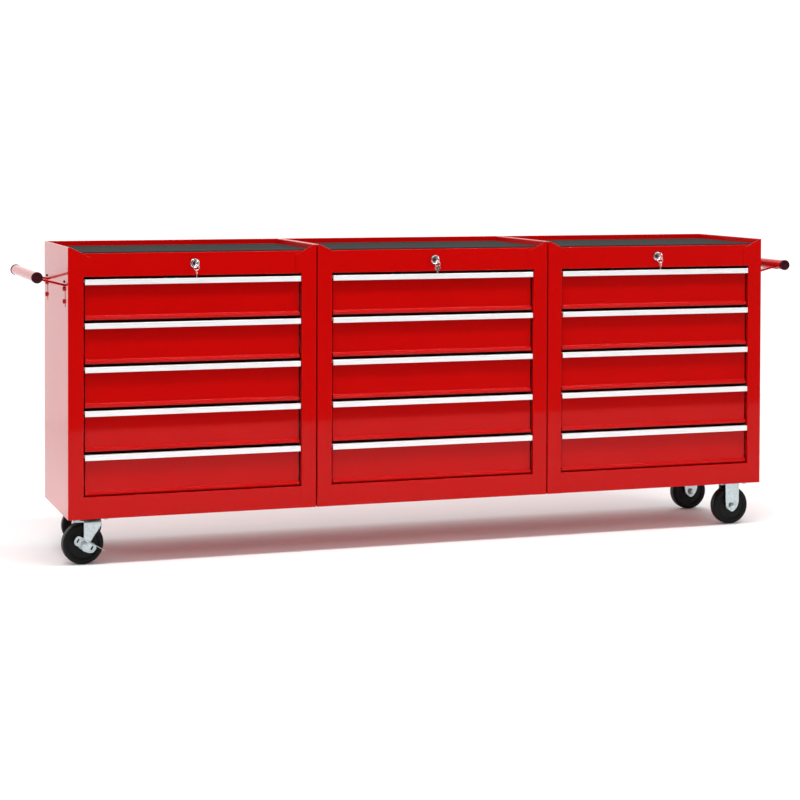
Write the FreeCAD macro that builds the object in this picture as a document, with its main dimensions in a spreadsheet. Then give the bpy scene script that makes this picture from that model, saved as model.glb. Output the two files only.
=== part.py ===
import FreeCAD, Part
import Sketcher
import os
import re

# Rolling tool chest: three sheet-steel cabinets side by side, fifteen drawers, four castors and a
# push bar at each end.  Millimetres.  +X runs along the chest, +Z is up and the front faces -Y.
# Every cabinet is drawn in its own frame (X from its middle, Y back from its front face, Z from the
# floor) and is then placed.

doc = FreeCAD.newDocument("rolling_tool_chest")
sheet = doc.addObject("Spreadsheet::Sheet", "Sizes")

SIZES = {
    # cabinet
    "cabinet_width": 612,
    "cabinet_pitch": 615,
    "cabinet_depth": 350,
    "cabinet_height": 648,
    "ground_gap": 115,
    "gauge": 1,
    "front_offset": -160,
    "stile_width": 37.5,
    "return_depth": 12,
    "rim_width": 5,
    "rim_height": 14,
    "ear_run": 35,
    "ear_drop": 15,
    "top_rail_height": 56,
    "bottom_rail_height": 53,
    "mat_thickness": 2.5,
    "mat_gap": 4,
    "pan_lip": 20,
    # drawers
    "drawer_pitch": 104.5,
    "first_drawer_drop": 77.5,
    "face_height": 97.5,
    "face_gap": 4,
    "face_recess": 10,
    "band_height": 11,
    "band_reach": 6,
    "drawer_front": 21,
    "drawer_back": 330,
    "drawer_width": 512,
    "drawer_rim_drop": 20,
    "pull_gap": 2,
    "pull_height": 13.2,
    "pull_reach": 2,
    "pull_gauge": 1.8,
    # runners
    "runner_drop": 60,
    "runner_height": 32,
    "runner_gauge": 1.2,
    "runner_play": 1.2,
    "runner_start": 22,
    "runner_length": 312,
    "post_depth": 28,
    "post_start": 14,
    "rear_post_start": 300,
    "rear_post_depth": 38,
    # lock
    "lock_drop": 41.5,
    "bezel_radius": 11.5,
    "bezel_depth": 3,
    "barrel_radius": 9.5,
    "barrel_length": 22,
    "barrel_gap": 0.1,
    "plug_radius": 5.5,
    "plug_gap": 0.05,
    "tail_radius": 3,
    "tail_end": 333,
    "crank_radius": 10,
    "crank_pin_radius": 2,
    "bow_radius": 10.5,
    "bow_reach": 19.5,
    "bow_hole_radius": 4.5,
    "key_thickness": 2,
    "ring_radius": 6.5,
    "ring_wire": 0.8,
    "ring_drop": 10,
    "spare_bow_radius": 7,
    "spare_bow_drop": 20.1,
    "spare_hole_radius": 2.4,
    "spare_hole_drop": 17.9,
    "spare_tip_drop": 35,
    "bar_left": 8,
    "bar_width": 20,
    "bar_front": 340,
    "bar_gauge": 3,
    # push bars
    "bar_reach": 72,
    "bar_drop": 71,
    "tube_radius": 12.5,
    "tube_wall": 1.5,
    "cap_radius": 13.5,
    "cap_length": 7,
    "arm_gauge": 3,
    "arm_width": 25,
    "arm_flange": 73,
    "arm_root_drop": 18.5,
    "arm_end_drop": 3.5,
    "front_arm": 50,
    "rear_arm": 310,
    "upper_screw_drop": 30,
    "lower_screw_drop": 60,
    "screw_radius": 3,
    "screw_gap": 0.1,
    "stud_drop": 13,
    "stud_radius": 3,
    # castors
    "castor_inset": 63,
    "front_castor": 55,
    "rear_castor": 295,
    "wheel_radius": 50,
    "wheel_width": 27,
    "hub_radius": 14,
    "hub_width": 34,
    "axle_radius": 5,
    "axle_gap": 0.05,
    "plate_length": 84,
    "plate_width": 60,
    "plate_gauge": 3,
    "bolt_spacing_long": 68,
    "bolt_spacing_wide": 44,
    "bolt_radius": 4,
    "bolt_gap": 0.2,
    "leg_gap": 36,
    "leg_gauge": 2.5,
    "leg_tip_radius": 12,
    "leg_width": 36,
    "leg_straight_end": 16,
    "trail": 20,
    "crown_height": 105,
    "race_radius": 25,
    "race_height": 3,
    "race_gap": 0.3,
    "kingpin_radius": 5,
    "front_swivel": 4,
    "rear_swivel": 178,
    "lever_tilt": -30,
    "pedal_start": 10,
    "pedal_end": 47,
    "pedal_width": 17.6,
}

for row, (name, size) in enumerate(SIZES.items(), start=1):
    sheet.set("A%d" % row, name)
    sheet.set("B%d" % row, str(size))
    sheet.setAlias("B%d" % row, name)
doc.recompute()

CABINETS = {"left": -1, "middle": 0, "right": 1}
DRAWERS = range(1, 6)
WORD = re.compile(r"[a-z_]+")
OTHER_WORDS = ("cos", "sin", "deg")

# Places that several parts share, as formulas of the sheet's sizes.
TOP = "(ground_gap + cabinet_height)"
RIM_FOOT = "(%s - rim_height)" % TOP
FRONT_RIM = "(%s - ear_drop)" % TOP
OPENING = "(cabinet_width / 2 - stile_width)"
HALF = "(cabinet_width / 2)"
LOCK = "(%s - lock_drop)" % TOP
TUBE = "(%s - bar_drop)" % TOP
LEG_OUT = "(leg_gap / 2 + leg_gauge)"


def formula(text):
    """The text with each size's name turned into a reference to the sheet."""
    def refer(found):
        word = found.group(0)
        return word if word in OTHER_WORDS else "Sizes." + word
    return WORD.sub(refer, text)


def number(text):
    """The present value of a formula."""
    return float(sheet.evalExpression(text))


def bind(thing, prop, text):
    thing.setExpression(prop, formula(text))


def place(thing, x="0", y="0", z="0", turn=None):
    """Bind a placement: an offset, and a turn as (axis, angle formula)."""
    if turn:
        axis, angle = turn
        thing.Placement = FreeCAD.Placement(
            FreeCAD.Vector(0, 0, 0), FreeCAD.Rotation(FreeCAD.Vector(*axis), number(angle)))
        bind(thing, "Placement.Rotation.Angle", angle)
    for letter, text in zip("xyz", (x, y, z)):
        bind(thing, "Placement.Base." + letter, text)
    return thing


def named(kind, label):
    thing = doc.addObject(kind, label)
    thing.Label = label
    return thing


def box(label, low, high):
    """A box between two corners given as formulas."""
    thing = named("Part::Box", label)
    for prop, a, b in zip(("Length", "Width", "Height"), low, high):
        bind(thing, prop, "(%s) - (%s)" % (b, a))
    return place(thing, *low)


TURNS = {"x": ((0, 1, 0), "90"), "y": ((-1, 0, 0), "90"), "z": None}


def rod(label, radius, length, along, at):
    """A cylinder that starts at a point and runs along +X, +Y or +Z."""
    thing = named("Part::Cylinder", label)
    bind(thing, "Radius", radius)
    bind(thing, "Height", length)
    return place(thing, *at, turn=TURNS[along])


def taper(label, first, second, length, along, at):
    thing = named("Part::Cone", label)
    bind(thing, "Radius1", first)
    bind(thing, "Radius2", second)
    bind(thing, "Height", length)
    return place(thing, *at, turn=TURNS[along])


def fuse(label, *shapes):
    thing = named("Part::MultiFuse", label)
    thing.Shapes = list(shapes)
    return thing


def cut(label, base, tool):
    thing = named("Part::Cut", label)
    thing.Base = base
    thing.Tool = tool
    return thing


def group(label, shapes, **where):
    """Separate solids under one name."""
    thing = named("Part::Compound", label)
    thing.Links = list(shapes)
    return place(thing, **where)


def copy(label, master, **where):
    """One more of a master piece, at its own place."""
    return group(label, [master], **where)


PLANES = {"xy": "XY_Plane", "xz": "XZ_Plane", "yz": "YZ_Plane"}


def body(label):
    return named("PartDesign::Body", label)


def sketch(owner, plane, name):
    drawing = owner.newObject("Sketcher::SketchObject", name)
    planes = {feature.Role: feature for feature in owner.Origin.OriginFeatures}
    drawing.AttachmentSupport = [(planes[PLANES[plane]], "")]
    drawing.MapMode = "FlatFace"
    return drawing


def hold(drawing, line, end, x, y):
    """Fix one end of a line at a point given by formulas, measured from the origin."""
    for kind, text in (("DistanceX", x), ("DistanceY", y)):
        datum = number(text)
        index = drawing.addConstraint(Sketcher.Constraint(kind, -1, 1, line, end, datum))
        drawing.setExpression("Constraints[%d]" % index, formula(text))


def outline(drawing, corners):
    """A closed outline of straight lines through corners given as formulas."""
    points = [FreeCAD.Vector(number(x), number(y), 0) for x, y in corners]
    first = drawing.GeometryCount
    count = len(points)
    for i in range(count):
        drawing.addGeometry(Part.LineSegment(points[i], points[(i + 1) % count]), False)
    for i in range(count):
        drawing.addConstraint(Sketcher.Constraint(
            "Coincident", first + i, 2, first + (i + 1) % count, 1))
        hold(drawing, first + i, 1, *corners[i])


def rectangle(drawing, left, low, right, high):
    outline(drawing, [(left, low), (right, low), (right, high), (left, high)])


def circle(drawing, x, y, radius):
    centre = FreeCAD.Vector(number(x), number(y), 0)
    ring = Part.Circle(centre, FreeCAD.Vector(0, 0, 1), number(radius))
    index = drawing.addGeometry(ring, False)
    hold(drawing, index, 3, x, y)
    size = drawing.addConstraint(Sketcher.Constraint("Radius", index, number(radius)))
    drawing.setExpression("Constraints[%d]" % size, formula(radius))


def feature(owner, kind, name, drawing, length=None, middle=False, back=False):
    """Pad or pocket a sketch; a length of None goes through everything."""
    thing = owner.newObject("PartDesign::" + kind, name)
    thing.Profile = drawing
    if length is None:
        thing.Type = "ThroughAll"
    else:
        bind(thing, "Length", length)
    if middle:
        thing.Midplane = True
    thing.Reversed = back
    drawing.Visibility = False
    return thing


def lift(drawing, height):
    """Raise a sketch off its origin plane, along that plane's normal."""
    drawing.setExpression(".AttachmentOffset.Base.z", formula(height))


# ---------------------------------------------------------------- cabinets

def cabinet_shell():
    """One bent sheet: sides, back, stiles with returns, raised rims and the two front ears."""
    owner = body("shell_master")
    outer = sketch(owner, "xy", "shell_plan")
    lift(outer, "ground_gap")
    rectangle(outer, "-" + HALF, "0", HALF, "cabinet_depth")
    feature(owner, "Pad", "shell_block", outer, "cabinet_height")

    inner = sketch(owner, "xy", "shell_inside")
    lift(inner, RIM_FOOT)
    rectangle(inner, "-%s + gauge" % HALF, "gauge", "%s - gauge" % HALF, "cabinet_depth - gauge")
    feature(owner, "Pocket", "shell_hollow", inner, "cabinet_height - rim_height + 1")

    upper = sketch(owner, "xy", "rim_inside")
    lift(upper, TOP)
    rectangle(upper, "-%s + rim_width" % HALF, "gauge", "%s - rim_width" % HALF,
              "cabinet_depth - rim_width")
    feature(owner, "Pocket", "rim_hollow", upper, "rim_height + 1")

    front = sketch(owner, "xz", "front_opening")
    outline(front, [
        ("-" + OPENING, "ground_gap - 1"),
        (OPENING, "ground_gap - 1"),
        (OPENING, FRONT_RIM),
        (HALF + " - ear_run", FRONT_RIM),
        (HALF + " - rim_width", TOP),
        (HALF + " - rim_width", TOP + " + 1"),
        ("-%s + rim_width" % HALF, TOP + " + 1"),
        ("-%s + rim_width" % HALF, TOP),
        ("-%s + ear_run" % HALF, FRONT_RIM),
        ("-" + OPENING, FRONT_RIM),
    ])
    feature(owner, "Pocket", "front_cut", front, "gauge * 2", middle=True)

    returns = sketch(owner, "xy", "stile_returns")
    lift(returns, "ground_gap + gauge")
    for near, far in ((OPENING, OPENING + " + gauge"), ("-%s - gauge" % OPENING, "-" + OPENING)):
        rectangle(returns, near, "gauge / 2", far, "return_depth")
    feature(owner, "Pad", "stile_return", returns, "cabinet_height - ear_drop - gauge * 3")

    holes = sketch(owner, "yz", "side_holes")
    for y in ("front_arm", "rear_arm"):
        for drop in ("upper_screw_drop", "lower_screw_drop"):
            circle(holes, y, "%s - %s" % (TUBE, drop), "screw_radius + screw_gap")
        circle(holes, y, TUBE + " - stud_drop", "stud_radius - 1 + screw_gap")
    feature(owner, "Pocket", "side_hole", holes, "cabinet_width + 2", middle=True)
    return owner


def top_tray():
    """The recessed top sheet, folded down in front into the rail that carries the lock."""
    owner = body("tray_master")
    floor = sketch(owner, "xy", "tray_floor_plan")
    lift(floor, "%s - gauge" % RIM_FOOT)
    rectangle(floor, "-%s + gauge" % HALF, "gauge", "%s - gauge" % HALF, "cabinet_depth - gauge")
    feature(owner, "Pad", "tray_floor", floor, "gauge", back=True)

    rail = sketch(owner, "yz", "top_rail_section")
    low = "%s - top_rail_height" % FRONT_RIM
    outline(rail, [
        ("0", low),
        ("return_depth", low),
        ("return_depth", low + " + gauge"),
        ("gauge", low + " + gauge"),
        ("gauge", RIM_FOOT + " - gauge * 2"),
        ("gauge * 2", RIM_FOOT + " - gauge * 2"),
        ("gauge * 2", FRONT_RIM),
        ("0", FRONT_RIM),
    ])
    feature(owner, "Pad", "top_rail", rail, OPENING + " * 2 - 0.2", middle=True)

    hole = sketch(owner, "xz", "lock_hole_plan")
    circle(hole, "0", LOCK, "barrel_radius + barrel_gap")
    feature(owner, "Pocket", "lock_hole", hole, "gauge * 3", middle=True)
    return owner


def bottom_pan():
    """The bottom sheet with its front rail, a rear lip and the bolt holes for four castors."""
    owner = body("pan_master")
    floor = sketch(owner, "xy", "pan_floor_plan")
    lift(floor, "ground_gap")
    rectangle(floor, "-%s + gauge" % HALF, "gauge", "%s - gauge" % HALF, "cabinet_depth - gauge")
    feature(owner, "Pad", "pan_floor", floor, "gauge")

    section = sketch(owner, "yz", "pan_section")
    high = "ground_gap + bottom_rail_height"
    outline(section, [
        ("0", "ground_gap"),
        ("gauge * 2", "ground_gap"),
        ("gauge * 2", "ground_gap + gauge"),
        ("gauge", "ground_gap + gauge"),
        ("gauge", high + " - gauge"),
        ("return_depth", high + " - gauge"),
        ("return_depth", high),
        ("0", high),
    ])
    feature(owner, "Pad", "bottom_rail", section, OPENING + " * 2 - 0.2", middle=True)

    lip = sketch(owner, "xy", "pan_lip_plan")
    lift(lip, "ground_gap")
    rectangle(lip, "-%s + gauge" % HALF, "cabinet_depth - gauge * 2",
              "%s - gauge" % HALF, "cabinet_depth - gauge")
    feature(owner, "Pad", "rear_lip", lip, "pan_lip")

    holes = sketch(owner, "xy", "castor_holes")
    lift(holes, "ground_gap")
    for side in (-1, 1):
        for y in ("front_castor", "rear_castor"):
            for i in (-1, 1):
                for j in (-1, 1):
                    x = "%d * (%s - castor_inset) + %d * bolt_spacing_long / 2" % (side, HALF, i)
                    circle(holes, x, "%s + %d * bolt_spacing_wide / 2" % (y, j),
                           "bolt_radius + bolt_gap")
    feature(owner, "Pocket", "castor_hole", holes, "gauge * 3", middle=True)
    return owner


def top_mat():
    low = ("-%s + rim_width + mat_gap" % HALF, "mat_gap", RIM_FOOT + " - gauge")
    high = ("%s - rim_width - mat_gap" % HALF, "cabinet_depth - rim_width - mat_gap",
            RIM_FOOT + " - gauge + mat_thickness")
    return box("mat_master", low, high)


# ---------------------------------------------------------------- drawers
# A drawer is drawn with Z = 0 at the top of its pull.

def drawer_tray():
    owner = body("drawer_master")
    block = sketch(owner, "xy", "drawer_plan")
    lift(block, "-face_height")
    half = "drawer_width / 2"
    rectangle(block, "-" + half, "drawer_front", half, "drawer_back")
    feature(owner, "Pad", "drawer_block", block, "face_height - drawer_rim_drop")

    inside = sketch(owner, "xy", "drawer_inside_plan")
    lift(inside, "-drawer_rim_drop")
    rectangle(inside, "-%s + gauge" % half, "drawer_front + gauge", "%s - gauge" % half,
              "drawer_back - gauge")
    feature(owner, "Pocket", "drawer_inside", inside, "face_height - drawer_rim_drop - gauge")

    face = sketch(owner, "yz", "face_section")
    outline(face, [
        ("face_recess", "-pull_gauge - 0.1"),
        ("face_recess", "band_height - face_height"),
        ("face_recess - band_reach", "3.5 - face_height"),
        ("face_recess - band_reach", "gauge - face_height"),
        ("face_recess - band_reach + gauge", "-face_height"),
        ("drawer_front + gauge", "-face_height"),
        ("drawer_front + gauge", "gauge - face_height"),
        ("face_recess - band_reach + gauge * 1.6", "gauge - face_height"),
        ("face_recess - band_reach + gauge", "gauge * 1.6 - face_height"),
        ("face_recess - band_reach + gauge", "3.2 - face_height"),
        ("face_recess + gauge", "band_height - face_height - 0.3"),
        ("face_recess + gauge", "-pull_gauge - 0.1"),
    ])
    feature(owner, "Pad", "drawer_face", face, "(%s - face_gap) * 2" % OPENING, middle=True)

    sides = sketch(owner, "xy", "face_returns_plan")
    lift(sides, "band_height - face_height")
    edge = "(%s - face_gap)" % OPENING
    rectangle(sides, "-" + edge, "face_recess", "-%s + gauge" % edge, "drawer_front")
    rectangle(sides, edge + " - gauge", "face_recess", edge, "drawer_front")
    feature(owner, "Pad", "face_returns", sides, "face_height - band_height - drawer_rim_drop")

    slot = sketch(owner, "xy", "lock_slot_plan")
    lift(slot, "-face_height")
    rectangle(slot, "bar_left - 2", "bar_front - 22", "bar_left + bar_width + 2", "bar_front - 14")
    feature(owner, "Pocket", "lock_slot", slot, "gauge * 4", middle=True)
    return owner


def channel(label, web_low, web_high, tip_low, tip_high, half_height, start, length):
    """A runner channel: an upright web with a flange at the top and the bottom."""
    finish = "%s + %s" % (start, length)
    web = box(label + "_web", (web_low, start, "-runner_drop - " + half_height),
              (web_high, finish, "-runner_drop + " + half_height))
    upper = box(label + "_upper", (tip_low, start, "-runner_drop + %s - runner_gauge" % half_height),
                (tip_high, finish, "-runner_drop + " + half_height))
    lower = box(label + "_lower", (tip_low, start, "-runner_drop - " + half_height),
                (tip_high, finish, "-runner_drop - %s + runner_gauge" % half_height))
    return fuse(label, web, upper, lower)


def drawer_runners():
    """The moving channels, one welded to each side of a drawer."""
    side = "drawer_width / 2"
    tip = "(%s - runner_gauge - runner_play)" % OPENING
    half_height = "(runner_height / 2 - runner_gauge - runner_play)"
    start, length = "drawer_front + 2", "runner_length - 12"
    right = channel("drawer_runner_right", side, side + " + runner_gauge", side, tip,
                    half_height, start, length)
    left = channel("drawer_runner_left", "-%s - runner_gauge" % side, "-" + side,
                   "-" + tip, "-" + side, half_height, start, length)
    return [left, right]


def cabinet_runners():
    """The fixed channels, one on each side of a drawer's place."""
    web = OPENING
    tip = "(drawer_width / 2 + runner_gauge + runner_play)"
    half_height = "runner_height / 2"
    right = channel("cabinet_runner_right", web + " - runner_gauge", web, tip, web,
                    half_height, "runner_start", "runner_length")
    left = channel("cabinet_runner_left", "-" + web, "-%s + runner_gauge" % web,
                   "-" + web, "-" + tip, half_height, "runner_start", "runner_length")
    return [left, right]


def drawer_pull():
    """An extrusion over the top edge of the drawer face, with a lip to pull on."""
    owner = body("pull_master")
    section = sketch(owner, "yz", "pull_section")
    back = "face_recess + gauge + 0.1"
    outline(section, [
        ("-pull_reach", "-pull_height"),
        ("-pull_reach", "-1.2"),
        ("-pull_reach + 1.2", "0"),
        (back + " + pull_gauge", "0"),
        (back + " + pull_gauge", "-8"),
        (back, "-8"),
        (back, "-pull_gauge"),
        ("-pull_reach + pull_gauge", "-pull_gauge"),
        ("-pull_reach + pull_gauge", "-pull_height"),
    ])
    feature(owner, "Pad", "pull_length", section, "(%s - pull_gap) * 2" % OPENING, middle=True)
    return owner


# ---------------------------------------------------------------- inside the cabinets

def runner_posts():
    """Four upright channels that carry the fixed runners."""
    floor = "ground_gap + gauge"
    top = RIM_FOOT + " - gauge * 2"
    posts = []
    for side, sign in (("left", "-"), ("right", "")):
        near = OPENING
        wall = "(%s - gauge)" % HALF
        for row, start, depth in (("front", "post_start", "post_depth"),
                                  ("rear", "rear_post_start", "rear_post_depth")):
            name = "post_%s_%s" % (side, row)
            if sign:
                low_x, high_x, web = "-" + wall, "-" + near, "-%s - gauge" % near
                hollow_low, hollow_high = "-%s - 1" % wall, web
            else:
                low_x, high_x, web = near, wall, near + " + gauge"
                hollow_low, hollow_high = web, wall + " + 1"
            block = box(name + "_block", (low_x, start, floor), (high_x, "%s + %s" % (start, depth), top))
            hollow = box(name + "_hollow", (hollow_low, start + " + gauge", floor + " - 1"),
                         (hollow_high, "%s + %s - gauge" % (start, depth), top + " + 1"))
            posts.append(cut(name, block, hollow))
    return posts


def bar_guides():
    """Two straps on the back sheet that the locking bar slides in."""
    guides = []
    for name, height in (("low", "ground_gap + 85"), ("high", "ground_gap + 535")):
        strap = box("guide_%s_strap" % name,
                    ("bar_left - 6", "bar_front - 4", height),
                    ("bar_left + bar_width + 6", "cabinet_depth - gauge", height + " + 16"))
        room = box("guide_%s_room" % name,
                   ("bar_left - 1", "bar_front - 1", height + " - 1"),
                   ("bar_left + bar_width + 1", "cabinet_depth", height + " + 17"))
        guides.append(cut("guide_" + name, strap, room))
    return guides


def locking_bar():
    """An upright bar with a hook under the back of each drawer, lifted by the lock's crank."""
    right = "bar_left + bar_width"
    back = "bar_front + bar_gauge"
    low = "%s - first_drawer_drop - face_height - drawer_pitch * 4 - 30" % TOP
    pieces = [
        box("bar_strip", ("bar_left", "bar_front", low), (right, back, LOCK + " + 12")),
        box("bar_head", ("-8", "bar_front", LOCK + " - 16"), (right, back, LOCK + " + 12")),
    ]
    for k in DRAWERS:
        floor = "(%s - first_drawer_drop - face_height - drawer_pitch * %d)" % (TOP, k - 1)
        pieces.append(box("hook_arm_%d" % k, ("bar_left", "bar_front - 20", floor + " - 16"),
                          (right, "bar_front", floor + " - 13")))
        pieces.append(box("hook_tooth_%d" % k, ("bar_left", "bar_front - 20", floor + " - 16"),
                          (right, "bar_front - 17", floor + " - 2")))
    window = box("bar_window", ("-3", "bar_front - 1", LOCK + " - 4.5"),
                 ("crank_radius + 3", back + " + 1", LOCK + " + 4.5"))
    return cut("bar_master", fuse("bar_solid", *pieces), window)


# ---------------------------------------------------------------- locks

def lock_housing():
    """Bezel and barrel in one, and the nut that clamps them to the rail."""
    bezel = taper("bezel", "bezel_radius - 1.5", "bezel_radius", "bezel_depth", "y",
                  ("0", "-bezel_depth", LOCK))
    barrel = rod("barrel", "barrel_radius", "barrel_length", "y", ("0", "0", LOCK))
    bore = rod("barrel_bore", "plug_radius + plug_gap", "barrel_length + bezel_depth + 2", "y",
               ("0", "-bezel_depth - 1", LOCK))
    housing = cut("housing", fuse("housing_solid", bezel, barrel), bore)
    nut = rod("nut_disc", "barrel_radius + 4", "4", "y", ("0", "gauge", LOCK))
    nut_hole = rod("nut_hole", "barrel_radius + barrel_gap / 2", "6", "y", ("0", "0", LOCK))
    return [housing, cut("lock_nut", nut, nut_hole)]


def lock_plug():
    """Plug, key and long tail with its crank, which turn together."""
    half = "key_thickness / 2"
    face = "-bezel_depth + 0.5"
    plug = rod("plug_barrel", "plug_radius", "barrel_length + bezel_depth", "y", ("0", face, LOCK))
    tail = rod("plug_tail", "tail_radius", "tail_end - barrel_length + 2", "y",
               ("0", "barrel_length - 2", LOCK))
    neck = box("key_neck", ("-" + half, "-bow_reach", LOCK + " - 3.5"),
               (half, "barrel_length / 2", LOCK + " + 3.5"))
    bow = rod("key_bow", "bow_radius", "key_thickness", "x", ("-" + half, "-bow_reach", LOCK))
    hole = rod("key_bow_hole", "bow_hole_radius", "key_thickness + 2", "x",
               ("-%s - 1" % half, "-bow_reach - 0.5", LOCK))
    key = cut("key", fuse("key_solid", neck, bow), hole)
    crank = box("crank_arm", ("-4", "tail_end - 4", LOCK + " - 4"),
                ("crank_radius + 3", "tail_end", LOCK + " + 4"))
    pin = rod("crank_pin", "crank_pin_radius", "12", "y", ("crank_radius", "tail_end - 2", LOCK))
    return fuse("plug_master", plug, tail, key, crank, pin)


def key_ring():
    """Split ring through the key's bow with the spare key on it; Z = 0 on the lock's axis."""
    ring = named("Part::Torus", "split_ring")
    bind(ring, "Radius1", "ring_radius")
    bind(ring, "Radius2", "ring_wire")
    place(ring, z="-ring_drop", turn=((1, 0, 0), "90"))
    half = "key_thickness / 2"
    bow = rod("spare_bow", "spare_bow_radius", "key_thickness", "x",
              ("-" + half, "0", "-spare_bow_drop"))
    blade = box("spare_blade", ("-" + half, "-2.5", "-spare_tip_drop"),
                (half, "2.5", "-spare_bow_drop"))
    hole = rod("spare_hole", "spare_hole_radius", "key_thickness + 2", "x",
               ("-%s - 1" % half, "0", "-spare_hole_drop"))
    spare = cut("spare_key", fuse("spare_solid", bow, blade), hole)
    return [ring, spare]


# ---------------------------------------------------------------- push bars
# Drawn for the right-hand end, with X = 0 on the cabinet's side and Z = 0 on the tube's axis.

def push_tube():
    outer = rod("tube_outer", "tube_radius", "cabinet_depth - cap_length * 2", "y",
                ("bar_reach", "cap_length", "0"))
    inner = rod("tube_inner", "tube_radius - tube_wall", "cabinet_depth", "y", ("bar_reach", "0", "0"))
    return cut("tube_master", outer, inner)


def tube_caps():
    front = rod("cap_front_disc", "cap_radius", "cap_length", "y", ("bar_reach", "0", "0"))
    rear = rod("cap_rear_disc", "cap_radius", "cap_length", "y",
               ("bar_reach", "cabinet_depth - cap_length", "0"))
    spigots = []
    for name, y in (("front", "cap_length"), ("rear", "cabinet_depth - cap_length - 12")):
        spigots.append(rod("cap_spigot_" + name, "tube_radius - tube_wall - 0.1", "12", "y",
                           ("bar_reach", y, "0")))
    return [fuse("cap_front", front, spigots[0]), fuse("cap_rear", rear, spigots[1])]


def bar_arm(name, y):
    """One arm: a flange on the side sheet, a rising strap and a band round the tube."""
    owner = body("arm_%s_body" % name)
    section = sketch(owner, "xz", "arm_section_" + name)
    lift(section, "-(%s + arm_width / 2)" % y)
    outline(section, [
        ("0", "-arm_flange"),
        ("arm_gauge", "-arm_flange"),
        ("arm_gauge", "-arm_root_drop - arm_gauge"),
        ("bar_reach - tube_radius", "-arm_end_drop - arm_gauge"),
        ("bar_reach - tube_radius", "-arm_end_drop"),
        ("0", "-arm_root_drop"),
    ])
    feature(owner, "Pad", "arm_strap_" + name, section, "arm_width")
    band = sketch(owner, "xz", "band_section_" + name)
    lift(band, "-(%s + arm_width / 2)" % y)
    circle(band, "bar_reach", "0", "tube_radius + arm_gauge - 0.5")
    feature(owner, "Pad", "arm_band_" + name, band, "arm_width")
    bore = sketch(owner, "xz", "band_bore_" + name)
    circle(bore, "bar_reach", "0", "tube_radius + 0.05")
    feature(owner, "Pocket", "arm_bore_" + name, bore, "cabinet_depth * 3", middle=True)
    holes = sketch(owner, "yz", "arm_holes_" + name)
    for drop in ("upper_screw_drop", "lower_screw_drop"):
        circle(holes, y, "-" + drop, "screw_radius + screw_gap")
    feature(owner, "Pocket", "arm_hole_" + name, holes, "arm_gauge * 3", middle=True)
    return owner


# ---------------------------------------------------------------- fasteners

def side_screws():
    """Dome screws of one push bar, drawn as the bar is, each with its nut inside the cabinet."""
    screws = []
    for row in ("front_arm", "rear_arm"):
        for name, drop in (("upper", "upper_screw_drop"), ("lower", "lower_screw_drop")):
            label = "side_screw_%s_%s" % (row, name)
            head = taper(label + "_head", "screw_radius * 2", "screw_radius * 1.2", "3", "x",
                         ("arm_gauge", row, "-" + drop))
            shank = rod(label + "_shank", "screw_radius", "arm_gauge + gauge + 7", "x",
                        ("-gauge - 7", row, "-" + drop))
            nut = rod(label + "_nut", "screw_radius + 2", "5", "x", ("-gauge - 5", row, "-" + drop))
            screws.append(fuse(label, head, shank, nut))
    return screws


def root_studs():
    """The small black stud above the root of each arm, with its nut inside the cabinet."""
    studs = []
    for row in ("front_arm", "rear_arm"):
        label = "root_stud_" + row
        head = rod(label + "_head", "stud_radius", "3", "x", ("0", row, "-stud_drop"))
        shank = rod(label + "_shank", "stud_radius - 1", "gauge + 6", "x",
                    ("-gauge - 5", row, "-stud_drop"))
        nut = rod(label + "_nut", "stud_radius + 1", "3", "x", ("-gauge - 3", row, "-stud_drop"))
        studs.append(fuse(label, head, shank, nut))
    return studs


def joining_bolts(seam):
    """Bolts and spacers that hold two cabinets together, about the seam at X = 0."""
    gap = "(cabinet_pitch - cabinet_width)"
    bolts = []
    for row in ("front_arm", "rear_arm"):
        for name, drop in (("upper", "upper_screw_drop"), ("lower", "lower_screw_drop")):
            label = "joining_%s_%s_%s" % (seam, row, name)
            height = "%s - %s" % (TUBE, drop)
            shank = rod(label + "_shank", "screw_radius", gap + " + gauge * 2 + 12", "x",
                        ("-%s / 2 - gauge - 4" % gap, row, height))
            head = rod(label + "_head", "screw_radius + 2", "4", "x",
                       ("-%s / 2 - gauge - 4" % gap, row, height))
            nut = rod(label + "_nut", "screw_radius + 2", "5", "x",
                      (gap + " / 2 + gauge", row, height))
            spacer = rod(label + "_spacer", "screw_radius + 3", gap, "x", ("-%s / 2" % gap, row, height))
            bolts.append(fuse(label, shank, head, nut, spacer))
    return bolts


def castor_bolts():
    """Four bolts of one castor, with the castor's middle at X = Y = 0."""
    bolts = []
    for i in (-1, 1):
        for j in (-1, 1):
            label = "castor_bolt_%d_%d" % (i + 1, j + 1)
            x = "%d * bolt_spacing_long / 2" % i
            y = "%d * bolt_spacing_wide / 2" % j
            under = "ground_gap - plate_gauge"
            head = rod(label + "_head", "bolt_radius + 2.2", "4", "z", (x, y, under + " - 4"))
            shank = rod(label + "_shank", "bolt_radius", "plate_gauge + 14", "z", (x, y, under + " - 2"))
            nut = rod(label + "_nut", "bolt_radius + 2.2", "5", "z", (x, y, "ground_gap + gauge"))
            bolts.append(fuse(label, head, shank, nut))
    return bolts


# ---------------------------------------------------------------- castors
# Drawn with the middle of the top plate (and the swivel axis) at X = Y = 0 and the floor at Z = 0.

def top_plate(label):
    owner = body(label)
    plan = sketch(owner, "xy", label + "_plan")
    lift(plan, "ground_gap - plate_gauge")
    rectangle(plan, "-plate_length / 2", "-plate_width / 2", "plate_length / 2", "plate_width / 2")
    for i in (-1, 1):
        for j in (-1, 1):
            circle(plan, "%d * bolt_spacing_long / 2" % i, "%d * bolt_spacing_wide / 2" % j,
                   "bolt_radius + bolt_gap")
    feature(owner, "Pad", label + "_sheet", plan, "plate_gauge")
    return owner


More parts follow.
